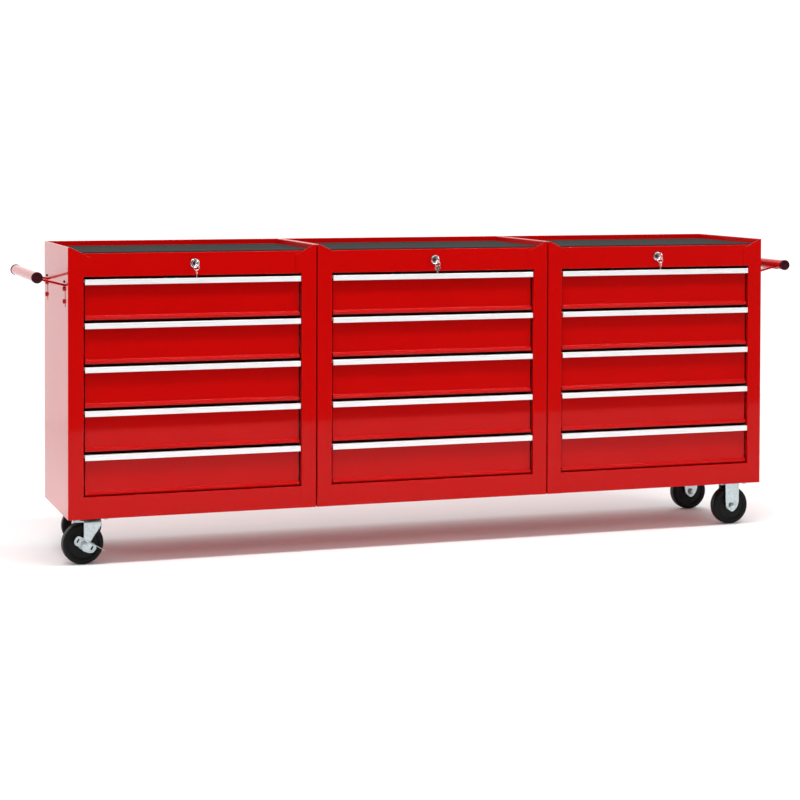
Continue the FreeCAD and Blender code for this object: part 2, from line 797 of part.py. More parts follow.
def fork_legs(label, axle_x, top, half_top, straight):
    """Two legs, straight sides down to one height and then a taper to a round tip at the axle."""
    legs = []
    for side in (-1, 1):
        owner = body("%s_leg_%d" % (label, side + 1))
        drawing = sketch(owner, "xz", "%s_leg_plan_%d" % (label, side + 1))
        near = "leg_gap / 2" if side < 0 else "-%s" % LEG_OUT
        lift(drawing, near)
        outline(drawing, [
            ("-" + half_top, top),
            ("-" + half_top, "wheel_radius + leg_straight_end"),
            (axle_x + " - leg_tip_radius * 0.98", "wheel_radius + 2"),
            (axle_x, "wheel_radius - leg_tip_radius"),
            (axle_x + " + leg_tip_radius * 0.98", "wheel_radius + 2"),
            (half_top, straight),
            (half_top, top),
        ])
        feature(owner, "Pad", "%s_leg_sheet_%d" % (label, side + 1), drawing, "leg_gauge")
        tip = rod("%s_tip_%d" % (label, side + 1), "leg_tip_radius", "leg_gauge", "y",
                  (axle_x, "leg_gap / 2" if side > 0 else "-" + LEG_OUT, "wheel_radius"))
        legs += [owner, tip]
    return legs


def axle(label, axle_x):
    """Axle bolt with its head in front and its nut behind."""
    reach = "(%s + 8)" % LEG_OUT
    shaft = rod(label + "_shaft", "axle_radius", "%s * 2" % reach, "y",
                (axle_x, "-" + reach, "wheel_radius"))
    head = rod(label + "_head", "axle_radius + 3", "4", "y", (axle_x, "-" + reach, "wheel_radius"))
    nut = rod(label + "_nut", "axle_radius + 3", "6", "y", (axle_x, LEG_OUT, "wheel_radius"))
    return [shaft, head, nut]


def rigid_castor_frame():
    legs = fork_legs("rigid", "0", "(ground_gap - plate_gauge + 0.5)", "leg_width / 2",
                     "wheel_radius + leg_straight_end")
    return fuse("rigid_master", top_plate("rigid_plate"), *legs, *axle("rigid_axle", "0"))


def swivel_plate():
    """The fixed half of a swivel castor: top plate, race and kingpin."""
    under = "ground_gap - plate_gauge"
    foot = "(crown_height + race_height + race_gap)"
    dish = taper("swivel_dish", "race_radius - 4", "race_radius + 4", "%s - %s + 0.5" % (under, foot),
                 "z", ("0", "0", foot))
    pin = rod("kingpin", "kingpin_radius", "ground_gap - 1 - (crown_height - 3)", "z",
              ("0", "0", "crown_height - 3"))
    button = rod("kingpin_head", "kingpin_radius + 2", "2.9", "z", ("0", "0", "crown_height - 5.7"))
    return fuse("swivel_plate_master", top_plate("swivel_top"), dish, pin, button)


def swivel_fork():
    """The turning half: crown, race, two raked legs and the axle, trailing along -X."""
    half = "race_radius * 0.84"
    legs = fork_legs("swivel", "-trail", "crown_height", half, "crown_height - 12")
    crown = box("swivel_crown", ("-" + half, "-" + LEG_OUT, "crown_height - leg_gauge"),
                (half, LEG_OUT, "crown_height"))
    race = rod("swivel_race", "race_radius", "race_height", "z", ("0", "0", "crown_height"))
    solid = fuse("swivel_solid", *legs, *axle("swivel_axle", "-trail"), crown, race)
    bore = rod("kingpin_bore", "kingpin_radius + axle_gap", "race_height + leg_gauge + 4", "z",
               ("0", "0", "crown_height - leg_gauge - 2"))
    return cut("fork_master", solid, bore)


def brake_lever():
    """Stamped lever that turns on the axle, outside the front leg, with its pedal ahead of it."""
    near = "-%s - 0.4" % LEG_OUT
    owner = body("lever_body")
    plan = sketch(owner, "xz", "lever_plan")
    lift(plan, "-(%s)" % near)
    outline(plan, [
        ("-27", "-5"), ("-27", "7"), ("-22", "12"), ("24", "12"), ("31", "4"),
        ("29", "-7"), ("20", "-13"), ("5", "-15"), ("-10", "-11"), ("-21", "-11"),
    ])
    circle(plan, "0", "0", "axle_radius + axle_gap")
    feature(owner, "Pad", "lever_sheet", plan, "leg_gauge")
    pedal = box("lever_pedal", ("pedal_start", "-%s - pedal_width" % LEG_OUT, "9"),
                ("pedal_end", near, "9 + leg_gauge"))
    return fuse("lever_master", owner, pedal)


def wheel():
    """Solid tyre on its hub, turned about the axle; drawn about its own middle."""
    owner = body("wheel_master")
    section = sketch(owner, "xy", "wheel_section")
    outline(section, [
        ("axle_radius + axle_gap", "-hub_width / 2"),
        ("hub_radius", "-hub_width / 2"),
        ("hub_radius", "-wheel_width / 2 + 2.5"),
        ("wheel_radius * 0.72", "-wheel_width / 2 + 2.5"),
        ("wheel_radius * 0.78", "-wheel_width / 2"),
        ("wheel_radius * 0.92", "-wheel_width / 2 + 1"),
        ("wheel_radius", "-wheel_width / 2 + 6"),
        ("wheel_radius", "wheel_width / 2 - 6"),
        ("wheel_radius * 0.92", "wheel_width / 2 - 1"),
        ("wheel_radius * 0.78", "wheel_width / 2"),
        ("wheel_radius * 0.72", "wheel_width / 2 - 2.5"),
        ("hub_radius", "wheel_width / 2 - 2.5"),
        ("hub_radius", "hub_width / 2"),
        ("axle_radius + axle_gap", "hub_width / 2"),
    ])
    turn = owner.newObject("PartDesign::Revolution", "wheel_turn")
    turn.Profile = section
    turn.ReferenceAxis = (section, ["V_Axis"])
    turn.Angle = 360
    section.Visibility = False
    return owner


# ---------------------------------------------------------------- assembly

parts = []


def keep(thing):
    parts.append(thing)
    return thing


def across(side):
    return "%d * cabinet_pitch" % side


def spread(prefix, master, y="front_offset"):
    """One copy of a master in each cabinet."""
    pieces = master if isinstance(master, list) else [master]
    return [group("%s_%s_copy" % (prefix, name), pieces, x=across(side), y=y)
            for name, side in CABINETS.items()]


shell = cabinet_shell()
plug = lock_plug()
ring = key_ring()
bar = locking_bar()
for name, side in CABINETS.items():
    keep(copy("cabinet_shell_" + name, shell, x=across(side), y="front_offset"))
    keep(copy("lock_plug_" + name, plug, x=across(side), y="front_offset"))
    keep(copy("lock_bar_" + name, bar, x=across(side), y="front_offset"))
    keep(group("key_ring_" + name, ring, x=across(side), y="front_offset - bow_reach - 0.5", z=LOCK))

drawer = [drawer_tray()] + drawer_runners()
pull = drawer_pull()
fixed_runners = cabinet_runners()
frames = spread("runner_posts", runner_posts()) + spread("bar_guides", bar_guides())
for name, side in CABINETS.items():
    for k in DRAWERS:
        height = "%s - first_drawer_drop - drawer_pitch * %d" % (TOP, k - 1)
        where = {"x": across(side), "y": "front_offset", "z": height}
        keep(group("drawer_%s_%d" % (name, k), drawer, **where))
        keep(copy("drawer_pull_%s_%d" % (name, k), pull, **where))
        frames.append(group("fixed_runners_%s_%d" % (name, k), fixed_runners, **where))

keep(group("runner_frames", frames))
keep(group("top_trays", spread("top_tray", top_tray())))
keep(group("bottom_pans", spread("bottom_pan", bottom_pan())))
keep(group("top_mats", spread("top_mat", top_mat())))
keep(group("lock_housings", spread("lock_housing", lock_housing())))

END = "(cabinet_pitch + %s)" % HALF
tube = push_tube()
caps = tube_caps()
arms = [bar_arm("front", "front_arm"), bar_arm("rear", "rear_arm")]
screws = side_screws() + root_studs()


def both_ends(label, pieces):
    """A set of pieces at the right-hand end, and its mirror image at the left-hand end."""
    right = group(label + "_right", pieces, x=END, y="front_offset", z=TUBE)
    left = named("Part::Mirroring", label + "_left")
    left.Source = right
    left.Base = FreeCAD.Vector(0, 0, 0)
    left.Normal = FreeCAD.Vector(1, 0, 0)
    return [right, left]


keep(group("push_bars", both_ends("push_bar", [tube])))
keep(group("push_bar_caps", both_ends("bar_cap_set", caps)))
keep(group("push_bar_arms", both_ends("bar_arm_set", arms)))

fasteners = both_ends("side_screw_set", screws)
for name, side in (("left", -1), ("right", 1)):
    fasteners.append(group("joining_bolts_" + name, joining_bolts(name),
                           x="%d * cabinet_pitch / 2" % side, y="front_offset"))

bolts = castor_bolts()
CASTOR = "(cabinet_pitch + %s - castor_inset)" % HALF
plate = swivel_plate()
fork = swivel_fork()
lever = brake_lever()
castor_wheel = wheel()
rigid = rigid_castor_frame()
plates = []
rigid_frames = []
for row in ("front", "rear"):
    y = "front_offset + %s_castor" % row
    swivel = "%s_swivel" % row
    left = {"x": "-" + CASTOR, "y": y}
    right = {"x": CASTOR, "y": y}
    fasteners.append(group("castor_bolts_left_" + row, bolts, **left))
    fasteners.append(group("castor_bolts_right_" + row, bolts, **right))
    plates.append(group("swivel_plate_" + row, [plate], **left))
    rigid_frames.append(group("rigid_frame_" + row, [rigid], **right))
    keep(copy("swivel_fork_" + row, fork, turn=((0, 0, 1), swivel), **left))
    axle_x = "-%s - trail * cos(%s * 1deg)" % (CASTOR, swivel)
    axle_y = "%s - trail * sin(%s * 1deg)" % (y, swivel)
    tilted = copy("tilted_lever_" + row, lever, turn=((0, -1, 0), "lever_tilt"))
    keep(group("brake_lever_" + row, [tilted], x=axle_x, y=axle_y, z="wheel_radius",
               turn=((0, 0, 1), swivel)))
    keep(copy("wheel_left_" + row, castor_wheel, x=axle_x, y=axle_y, z="wheel_radius",
              turn=((0, 0, 1), swivel)))
    keep(copy("wheel_right_" + row, castor_wheel, x=CASTOR, y=y, z="wheel_radius"))

keep(group("castor_frames", plates + rigid_frames))
keep(group("fasteners", fasteners))

# ---------------------------------------------------------------- checks and output

doc.recompute()
for thing in doc.Objects:
    if "Invalid" in thing.State or "Error" in thing.State:
        raise RuntimeError("%s did not compute: %s" % (thing.Label, thing.State))
if len(parts) > 60:
    raise RuntimeError("too many parts: %d" % len(parts))
for thing in parts:
    if thing.Shape.isNull() or not thing.Shape.isValid() or not thing.Shape.Solids:
        raise RuntimeError(thing.Label + " has no valid solid")

os.makedirs("parts", exist_ok=True)
for thing in parts:
    thing.Shape.exportStep("parts/%s.step" % thing.Label)
whole = Part.makeCompound([thing.Shape for thing in parts])
print("%d parts, %d solids" % (len(parts), len(whole.Solids)))
print("box", whole.BoundBox)
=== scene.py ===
"""Rolling tool chest: three sheet-steel cabinets, fifteen drawers, four castors and two push bars.

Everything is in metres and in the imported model's own frame: +X runs along the chest, +Z is up and
the front faces -Y.  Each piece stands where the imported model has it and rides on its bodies.
"""
import math
from functools import cache

import bmesh
import bpy
from bpy.props import FloatProperty, FloatVectorProperty, PointerProperty
from mathutils import Matrix, Vector


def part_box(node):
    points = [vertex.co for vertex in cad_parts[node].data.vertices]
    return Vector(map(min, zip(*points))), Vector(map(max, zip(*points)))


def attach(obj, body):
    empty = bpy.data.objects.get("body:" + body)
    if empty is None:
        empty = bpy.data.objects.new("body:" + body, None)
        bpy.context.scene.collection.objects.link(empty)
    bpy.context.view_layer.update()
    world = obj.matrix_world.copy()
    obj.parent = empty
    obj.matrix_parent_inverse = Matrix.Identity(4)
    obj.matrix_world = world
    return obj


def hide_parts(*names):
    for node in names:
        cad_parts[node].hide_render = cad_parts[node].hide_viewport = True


bl_info = {
    "name": "Rolling Tool Chest",
    "version": (1, 0, 0),
    "blender": (4, 5, 0),
    "location": "3D View > Sidebar > Tool Chest",
    "description": "Models the cabinets, drawers, locks, push bars and castors of a rolling tool chest",
    "category": "Object",
}

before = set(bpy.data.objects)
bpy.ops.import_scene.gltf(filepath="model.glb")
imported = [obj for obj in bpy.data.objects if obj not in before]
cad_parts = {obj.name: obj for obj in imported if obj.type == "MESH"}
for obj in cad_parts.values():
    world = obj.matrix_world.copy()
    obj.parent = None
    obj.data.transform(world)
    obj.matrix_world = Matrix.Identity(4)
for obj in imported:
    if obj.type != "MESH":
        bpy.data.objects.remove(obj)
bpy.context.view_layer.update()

CABINETS = ("left", "middle", "right")
DRAWERS = range(1, 6)
ROWS = ("front", "rear")
SIDES = {"left": -1, "right": 1}
SPARE_TURNS = {"left": 0, "middle": math.radians(78), "right": 0}  # how each spare key hangs
AXES = {"x": Vector((1, 0, 0)), "y": Vector((0, 1, 0)), "z": Vector((0, 0, 1))}
TOUCH = 1e-5   # places nearer than this are the same place
SKIN = 0.0001  # gap between two pieces that lie against each other


def middle(node):
    low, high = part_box(node)
    return (low + high) / 2


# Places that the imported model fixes.
SHELL_LOW, SHELL_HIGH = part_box("cabinet_shell_middle")
FRONT, BACK = SHELL_LOW.y, SHELL_HIGH.y
UNDER, TOP = SHELL_LOW.z, SHELL_HIGH.z
HALF = (SHELL_HIGH.x - SHELL_LOW.x) / 2
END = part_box("cabinet_shell_right")[1].x
CENTRES = {name: middle("cabinet_shell_" + name).x for name in CABINETS}
LOCK_HEIGHT = middle("lock_housings").z
TUBE_HEIGHT = middle("push_bars").z
CASTOR_X = middle("wheel_right_front").x
CASTOR_Y = {row: middle("wheel_right_" + row).y for row in ROWS}
CROWN_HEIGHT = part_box("swivel_fork_front")[1].z


def length(name, text, size):
    return FloatProperty(name=name, description=text, default=size, unit="LENGTH")


def colour(name, text, value):
    return FloatVectorProperty(name=name, description=text, default=value, size=3, min=0, max=1,
                               subtype="COLOR")


# ---------------------------------------------------------------- sizes and colours

class ChestCabinetSizes(bpy.types.PropertyGroup):
    """Sizes of the folded cabinet sheets."""
    gauge: length("Gauge", "Thickness of the sheet steel", 0.001)
    fold: length("Fold", "How far a fold's rounding reaches", 0.0019)
    stile: length("Stile", "Width of the upright beside the drawers", 0.0375)
    lip: length("Lip", "Depth of the folds behind stiles and rails", 0.012)
    rim: length("Rim", "Width of the raised rim", 0.005)
    rim_height: length("Rim height", "Height of the rim above the tray", 0.014)
    ear_run: length("Ear run", "Length of the sloping front corner", 0.035)
    ear_drop: length("Ear drop", "Height of the sloping front corner", 0.015)
    hem: length("Hem", "Radius of the rolled edge along the sloping corner", 0.0011)
    tongue: length("Tongue", "How far the stile's top laps over the rail", 0.0155)
    top_rail: length("Top rail", "Height of the rail that carries the lock", 0.056)
    bottom_rail: length("Bottom rail", "Height of the rail under the drawers", 0.053)
    rail_step: length("Rail step", "How far the top rail lies behind the stiles", 0.0011)
    mat: length("Mat", "Thickness of the rubber mat", 0.0025)
    mat_gap: length("Mat gap", "Space between the mat and the rims", 0.004)
    mat_corner: length("Mat corner", "Radius of the mat's corners", 0.006)
    lap: length("Lap", "How far a stile's fold reaches behind a rail", 0.002)
    rear_lip: length("Rear lip", "Height of the bottom pan's rear lip", 0.020)
    edge: length("Edge", "Rounding of a sheet's cut edge", 0.00045)


class ChestDrawerSizes(bpy.types.PropertyGroup):
    """Sizes of a drawer, its pull and its slides."""
    face: length("Face", "Height of the drawer face", 0.0975)
    face_gap: length("Face gap", "Space between a face and its stile", 0.004)
    recess: length("Recess", "How far the face lies behind the stiles", 0.010)
    band: length("Band", "Height of the flared band at the foot of the face", 0.011)
    band_reach: length("Band reach", "How far the band stands out from the face", 0.006)
    band_crest: length("Band crest", "Height of the band's fullest line above its foot", 0.0064)
    band_tuck: length("Band tuck", "How far the band's foot lies behind its fullest line", 0.0024)
    width: length("Width", "Outside width of the tray", 0.512)
    start: length("Start", "Distance from the cabinet's front to the tray", 0.021)
    end: length("End", "Distance from the cabinet's front to the tray's back", 0.330)
    rim_drop: length("Rim drop", "Height of the pull's top above the tray's rim", 0.020)
    hem: length("Hem", "Width of the hem along the tray's rim", 0.004)
    hem_drop: length("Hem drop", "Height of the hem along the tray's rim", 0.005)
    slot_left: length("Slot left", "Distance of the hook's slot from the drawer's middle", 0.006)
    slot_right: length("Slot right", "Distance of the slot's far end from the middle", 0.030)
    slot_start: length("Slot start", "Distance from the cabinet's front to the slot", 0.318)
    slot_end: length("Slot end", "Distance from the cabinet's front to the slot's back", 0.326)
    pull: length("Pull", "Height of the aluminium pull", 0.0125)
    pull_reach: length("Pull reach", "How far the pull stands out of the cabinet", 0.002)
    pull_gap: length("Pull gap", "Space between a pull's end and its stile", 0.003)
    pull_gauge: length("Pull gauge", "Wall of the pull", 0.0018)
    pull_lap: length("Pull lap", "How far the pull's top reaches behind the face", 0.0029)
    pull_hook: length("Pull hook", "Height of the pull's hook behind the face", 0.008)
    groove: length("Groove", "Half the width of the pull's groove", 0.0006)
    groove_depth: length("Groove depth", "Depth of the pull's groove", 0.0005)
    slide_drop: length("Slide drop", "Height of the pull's top above the slide's middle", 0.060)
    slide: length("Slide", "Height of the moving channel", 0.0272)
    slide_depth: length("Slide depth", "Width of the moving channel", 0.0101)
    slide_gauge: length("Slide gauge", "Thickness of the slide's steel", 0.0012)
    slide_start: length("Slide start", "Distance from the tray's front to the slide", 0.002)
    slide_length: length("Slide length", "Length of the moving channel", 0.300)
    rivet: length("Rivet", "Radius of a slide's rivet", 0.003)
    rivet_height: length("Rivet height", "Height of a slide's rivet", 0.0012)


class ChestLockSizes(bpy.types.PropertyGroup):
    """Sizes of the cylinder locks and their keys."""
    bezel: length("Bezel", "Radius of the bright ring round the lock", 0.0115)
    bezel_depth: length("Bezel depth", "How far the bezel stands out", 0.003)
    barrel: length("Barrel", "Radius of the lock's barrel", 0.0095)
    barrel_length: length("Barrel length", "Length of the barrel behind the rail", 0.022)
    plug: length("Plug", "Radius of the turning plug", 0.0055)
    tail: length("Tail", "Radius of the plug's tail", 0.003)
    tail_end: length("Tail end", "Distance from the cabinet's front to the tail's end", 0.333)
    crank: length("Crank", "How far the crank reaches from the axis", 0.013)
    crank_half: length("Crank half", "Half the width of the crank, and its thickness", 0.004)
    pin: length("Pin", "Radius of the crank's pin", 0.002)
    pin_reach: length("Pin reach", "Distance of the pin from the axis, and its length", 0.010)
    key: length("Key", "Thickness of the keys", 0.002)
    bow: length("Bow", "Radius of the key's round grip", 0.0105)
    bow_reach: length("Bow reach", "Distance of the grip's middle from the rail", 0.020)
    bow_hole: length("Bow hole", "Radius of the hole in the grip", 0.0045)
    ring: length("Ring", "Radius of the split ring", 0.0065)
    wire: length("Wire", "Radius of the ring's wire", 0.0008)
    ring_drop: length("Ring drop", "Height of the lock's axis above the ring's middle", 0.010)
    spare_bow: length("Spare bow", "Radius of the spare key's grip", 0.007)
    spare_drop: length("Spare drop", "Height of the lock's axis above the spare grip", 0.0201)
    spare_tip: length("Spare tip", "Height of the lock's axis above the spare tip", 0.035)


class ChestBarSizes(bpy.types.PropertyGroup):
    """Sizes of the push bars and their arms."""
    tube: length("Tube", "Radius of the tube", 0.0125)
    wall: length("Wall", "Wall of the tube", 0.0015)
    cap: length("Cap", "Length of the end cap", 0.007)
    cap_radius: length("Cap radius", "Radius of the end cap", 0.0135)
    arm: length("Arm", "Width of an arm", 0.025)
    strap: length("Strap", "Height of an arm's strap", 0.005)
    flange_gauge: length("Flange gauge", "Thickness of an arm's flange and cradle", 0.0008)
    flange: length("Flange", "Height of the tube above the flange's foot", 0.073)
    root_drop: length("Root drop", "Height of the tube above the arm's root", 0.0185)
    end_drop: length("End drop", "Height of the tube above the arm's outer end", 0.0035)
    screw: length("Screw", "Radius of a screw's head", 0.006)
    upper_screw: length("Upper screw", "Height of the tube above the upper screw", 0.030)
    lower_screw: length("Lower screw", "Height of the tube above the lower screw", 0.060)
    stud: length("Stud", "Height of the tube above the black stud", 0.013)
    head: length("Head", "Height of a screw's head above the side sheet", 0.0042)
    thread: length("Thread", "Radius of a screw's thread and of a stud's head", 0.003)
    nut: length("Nut", "Radius of a screw's nut", 0.005)
    stud_nut: length("Stud nut", "Radius of a stud's nut, and how far in it reaches", 0.004)
    arm_front: length("Front arm", "Distance of the front arm from the cabinet's front", 0.050)
    arm_rear: length("Rear arm", "Distance of the rear arm from the cabinet's front", 0.310)


class ChestCastorSizes(bpy.types.PropertyGroup):
    """Sizes of the castors."""
    wheel: length("Wheel", "Radius of a wheel", 0.050)
    tread: length("Tread", "Width of a wheel", 0.027)
    hub: length("Hub", "Radius of the hub", 0.014)
    hub_width: length("Hub width", "Width of the hub", 0.034)
    axle: length("Axle", "Radius of the axle", 0.005)
    plate_long: length("Plate length", "Length of the top plate", 0.084)
    plate_wide: length("Plate width", "Width of the top plate", 0.060)
    plate: length("Plate", "Thickness of the top plate", 0.003)
    bolts_long: length("Bolt spacing", "Spacing of the bolts along the plate", 0.068)
    bolts_wide: length("Bolt spacing across", "Spacing of the bolts across the plate", 0.044)
    bolt: length("Bolt", "Radius of a plate's bolt", 0.004)
    bolt_hole: length("Bolt hole", "Radius of a bolt's hole", 0.0042)
    bolt_nut: length("Bolt nut", "Radius of a bolt's head and nut", 0.0062)
    bolt_head: length("Bolt head", "Height of a bolt's head", 0.004)
    nut_height: length("Nut height", "Height of a bolt's nut", 0.005)
    corner: length("Corner", "Radius of the plate's corners", 0.008)
    out: length("Fork reach", "Distance of a leg's outer face from the middle", 0.0205)
    leg_gauge: length("Leg gauge", "Thickness of the fork's steel", 0.0025)
    leg: length("Leg", "Half the width of a rigid leg", 0.0195)
    swivel_leg: length("Swivel leg", "Half the width of a swivel leg at its crown", 0.021)
    leg_foot: length("Leg foot", "How far a rigid leg tapers above and below the axle", 0.0155)
    tip: length("Tip", "Radius of a leg's round end", 0.012)
    trail: length("Trail", "Distance of the axle behind the swivel axis", 0.020)
    race: length("Race", "Radius of the ball race", 0.025)
    tilt: FloatProperty(name="Brake tilt", description="Slope of the brake lever at rest",
                        default=math.radians(30), subtype="ANGLE")


class ChestColours(bpy.types.PropertyGroup):
    """Colours of the finishes, as linear values."""
    paint: colour("Paint", "Gloss paint of the sheets", (0.475, 0.0010, 0.0005))
    paint_deep: colour("Deep paint", "The paint where it lies thicker", (0.460, 0.0009, 0.0005))
    aluminium: colour("Aluminium", "Satin aluminium of the pulls", (0.84, 0.84, 0.85))
    rubber: colour("Mat rubber", "Top mats", (0.022, 0.0235, 0.022))
    tyre: colour("Tyre", "Wheels", (0.0035, 0.0035, 0.0035))
    zinc: colour("Zinc", "Plated steel of castors and slides", (0.52, 0.60, 0.62))
    chrome: colour("Chrome", "Lock bezels and split rings", (0.80, 0.78, 0.79))
    race: colour("Race", "Greased ball races", (0.085, 0.13, 0.12))
    # the runner frames' steel is darkened: painted shade in the gaps beside the drawers
    runner: colour("Runner", "Bare steel of the runner frames", (0.20, 0.21, 0.22))
    # the plug's metal is darkened and tinted maroon: painted shade in the lock's dished centre, with a
    # painted reflection of the red paint
    plug: colour("Plug", "Lock plugs", (0.12, 0.07, 0.09))
    key: colour("Key", "Nickel-plated keys", (0.74, 0.69, 0.66))
    # black for the studs; the locking bars take it as painted shade in the gaps above the pulls
    stud: colour("Stud", "Black studs and locking bars", (0.012, 0.011, 0.012))
    cap: colour("Cap", "End caps of the push bars", (0.036, 0.003, 0.006))
    floor: colour("Floor", "Studio floor", (0.90, 0.90, 0.90))


class ChestStageSizes(bpy.types.PropertyGroup):
    """Camera and studio."""
    eye: FloatVectorProperty(name="Eye", description="Where the camera stands",
                             default=(-1.7325, -4.9558, 0.9917), size=3, subtype="TRANSLATION")
    yaw: FloatProperty(name="Yaw", description="Turn of the view towards +X",
                       default=math.radians(18.874), subtype="ANGLE")
    pitch: FloatProperty(name="Pitch", description="Tilt of the view above level",
                         default=math.radians(-1.366), subtype="ANGLE")
    roll: FloatProperty(name="Roll", description="Roll of the view",
                        default=math.radians(0.177), subtype="ANGLE")
    lens: FloatProperty(name="Lens", description="Focal length in millimetres", default=91.60)
    rise: FloatProperty(name="Rise", description="Vertical shift of the lens", default=-0.25)
    floor_size: length("Floor", "Side of the floor", 5.0)


SIZE_GROUPS = {
    "chest_cabinet": ChestCabinetSizes,
    "chest_drawer": ChestDrawerSizes,
    "chest_lock": ChestLockSizes,
    "chest_bar": ChestBarSizes,
    "chest_castor": ChestCastorSizes,
    "chest_colours": ChestColours,
    "chest_stage": ChestStageSizes,
}


# ---------------------------------------------------------------- bench work

def near(a, b):
    return abs(a - b) < TOUCH


def clear():
    """Leave edit mode with nothing selected."""
    if bpy.context.object and bpy.context.object.mode != "OBJECT":
        bpy.ops.object.mode_set(mode="OBJECT")
    bpy.ops.object.select_all(action="DESELECT")


def focus(piece):
    clear()
    piece.select_set(True)
    bpy.context.view_layer.objects.active = piece


def open_up(piece, kind="EDGE"):
    """Go into edit mode on one piece, with nothing selected, and return its mesh."""
    if piece.mode != "EDIT":
        focus(piece)
        bpy.ops.object.mode_set(mode="EDIT")
    bpy.ops.mesh.select_mode(type=kind)
    bpy.ops.mesh.select_all(action="DESELECT")
    return bmesh.from_edit_mesh(piece.data)


def pick(piece, test, kind="EDGE"):
    """Select the faces, edges or corners that lie wholly where the test holds."""
    mesh = open_up(piece, kind)
    things = {"VERT": mesh.verts, "EDGE": mesh.edges, "FACE": mesh.faces}[kind]
    for thing in things:
        corners = [thing] if kind == "VERT" else thing.verts
        if all(test(corner.co) for corner in corners):
            thing.select_set(True)
    mesh.select_flush_mode()
    bmesh.update_edit_mesh(piece.data)


def extrude(move, scale=None, about=None):
    bpy.ops.mesh.extrude_region_move(TRANSFORM_OT_translate={"value": move})
    if scale:
        bpy.ops.transform.resize(value=scale, center_override=about)


def slice_at(piece, axis, place, part=lambda p: True):
    """Cut the faces of one part of a piece by a plane across an axis."""
    pick(piece, part, "FACE")
    bpy.ops.mesh.bisect(plane_co=AXES[axis] * place, plane_no=AXES[axis])


def remove(piece, test, kind="FACE"):
    pick(piece, test, kind)
    bpy.ops.mesh.delete(type=kind)


def round_folds(piece, reach, steps=4, where=lambda p: True):
    """Round every fold, which is an edge whose two faces meet at an angle."""
    mesh = open_up(piece)
    for edge in mesh.edges:
        folded = len(edge.link_faces) == 2 and edge.calc_face_angle(0) > 0.3
        if folded and all(where(corner.co) for corner in edge.verts):
            edge.select_set(True)
    bmesh.update_edit_mesh(piece.data)
    bpy.ops.mesh.bevel(offset=reach, segments=steps, affect="EDGES")


def round_corners(piece, reach, steps=6):
    """Round the upright edges of a block."""
    mesh = open_up(piece)
    for edge in mesh.edges:
        if not near(edge.verts[0].co.z, edge.verts[1].co.z):
            edge.select_set(True)
    bmesh.update_edit_mesh(piece.data)
    bpy.ops.mesh.bevel(offset=reach, segments=steps, affect="EDGES")


def modify(piece, kind, **settings):
    """Add a modifier, set it and apply it."""
    focus(piece)
    bpy.ops.object.modifier_add(type=kind)
    modifier = piece.modifiers[-1]
    for name, value in settings.items():
        setattr(modifier, name, value)
    bpy.ops.object.modifier_apply(modifier=modifier.name)


def thicken(piece, gauge, outward=False):
    """Give a sheet its gauge, behind its faces or in front of them."""
    modify(piece, "SOLIDIFY", thickness=gauge, offset=1 if outward else -1, use_even_offset=True)


def soften(piece, reach, steps=2, angle=30):
    """Break every edge sharper than an angle."""
    modify(piece, "BEVEL", width=reach, segments=steps, limit_method="ANGLE",
           angle_limit=math.radians(angle), use_clamp_overlap=True)


def tidy(piece):
    """Merge doubles and turn the faces outwards."""
    open_up(piece, "VERT")
    bpy.ops.mesh.select_all(action="SELECT")
    bpy.ops.mesh.remove_doubles(threshold=1e-6)
    bpy.ops.mesh.normals_make_consistent(inside=False)
    clear()
    return piece


def smooth(piece):
    focus(piece)
    bpy.ops.object.shade_smooth_by_angle(angle=math.radians(33))
    modify(piece, "WEIGHTED_NORMAL", keep_sharp=True)
    return piece


def join(pieces):
    focus(pieces[0])
    for piece in pieces[1:]:
        piece.select_set(True)
    bpy.ops.object.join()
    return pieces[0]


def put(piece, matrix):
    """Move a piece and keep its place in its mesh."""
    focus(piece)
    piece.matrix_world = matrix
    bpy.ops.object.transform_apply(location=True, rotation=True, scale=True)
    return piece


def repeat(piece, matrix):
    """A copy with its own mesh, moved by a matrix."""
    focus(piece)
    bpy.ops.object.duplicate(linked=False)
    return put(bpy.context.object, matrix)


def discard(piece):
    focus(piece)
    bpy.ops.object.delete()


def install(piece, name, body, finish, *nodes):
    """Name a finished piece, paint it, and let it ride on its body in place of its nodes."""
    piece.name = name
    piece.data.name = name
    piece.data.materials.clear()
    piece.data.materials.append(FINISHES[finish]())
    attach(piece, body)
    if nodes:
        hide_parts(*nodes)


def block(low, high):
    """A block between two corners, as a start."""
    low, high = Vector(low), Vector(high)
    clear()
    bpy.ops.mesh.primitive_cube_add(size=1, location=(low + high) / 2)
    piece = bpy.context.object
    piece.scale = high - low
    bpy.ops.object.transform_apply(location=True, rotation=True, scale=True)
    return piece


def strip(along, low, high, path):
    """Sheet that runs from low to high along an axis, folded on a path of (across, height, fold)."""
    run = AXES[along]
    across = AXES["y" if along == "x" else "x"]
    spots = [across * point[0] + AXES["z"] * point[1] for point in path]
    first = spots[1] - spots[0]
    way = first.normalized()
    clear()
    place = run * (low + high) / 2 + (spots[0] + spots[1]) / 2
    bpy.ops.mesh.primitive_plane_add(size=1, location=place)
    piece = bpy.context.object
    piece.rotation_euler = Matrix((run, way, run.cross(way))).transposed().to_euler()
    piece.scale = (high - low, first.length, 1)
    bpy.ops.object.transform_apply(location=True, rotation=True, scale=True)

    def on(spot):
        return lambda p: (p - spot - run * p.dot(run)).length < TOUCH

    pick(piece, on(spots[1]))
    for here, there in zip(spots[1:], spots[2:]):
        extrude(there - here)
    for spot, point in zip(spots, path):
        if point[2]:
            pick(piece, on(spot))
            bpy.ops.mesh.bevel(offset=point[2], segments=4, affect="EDGES")
    return piece


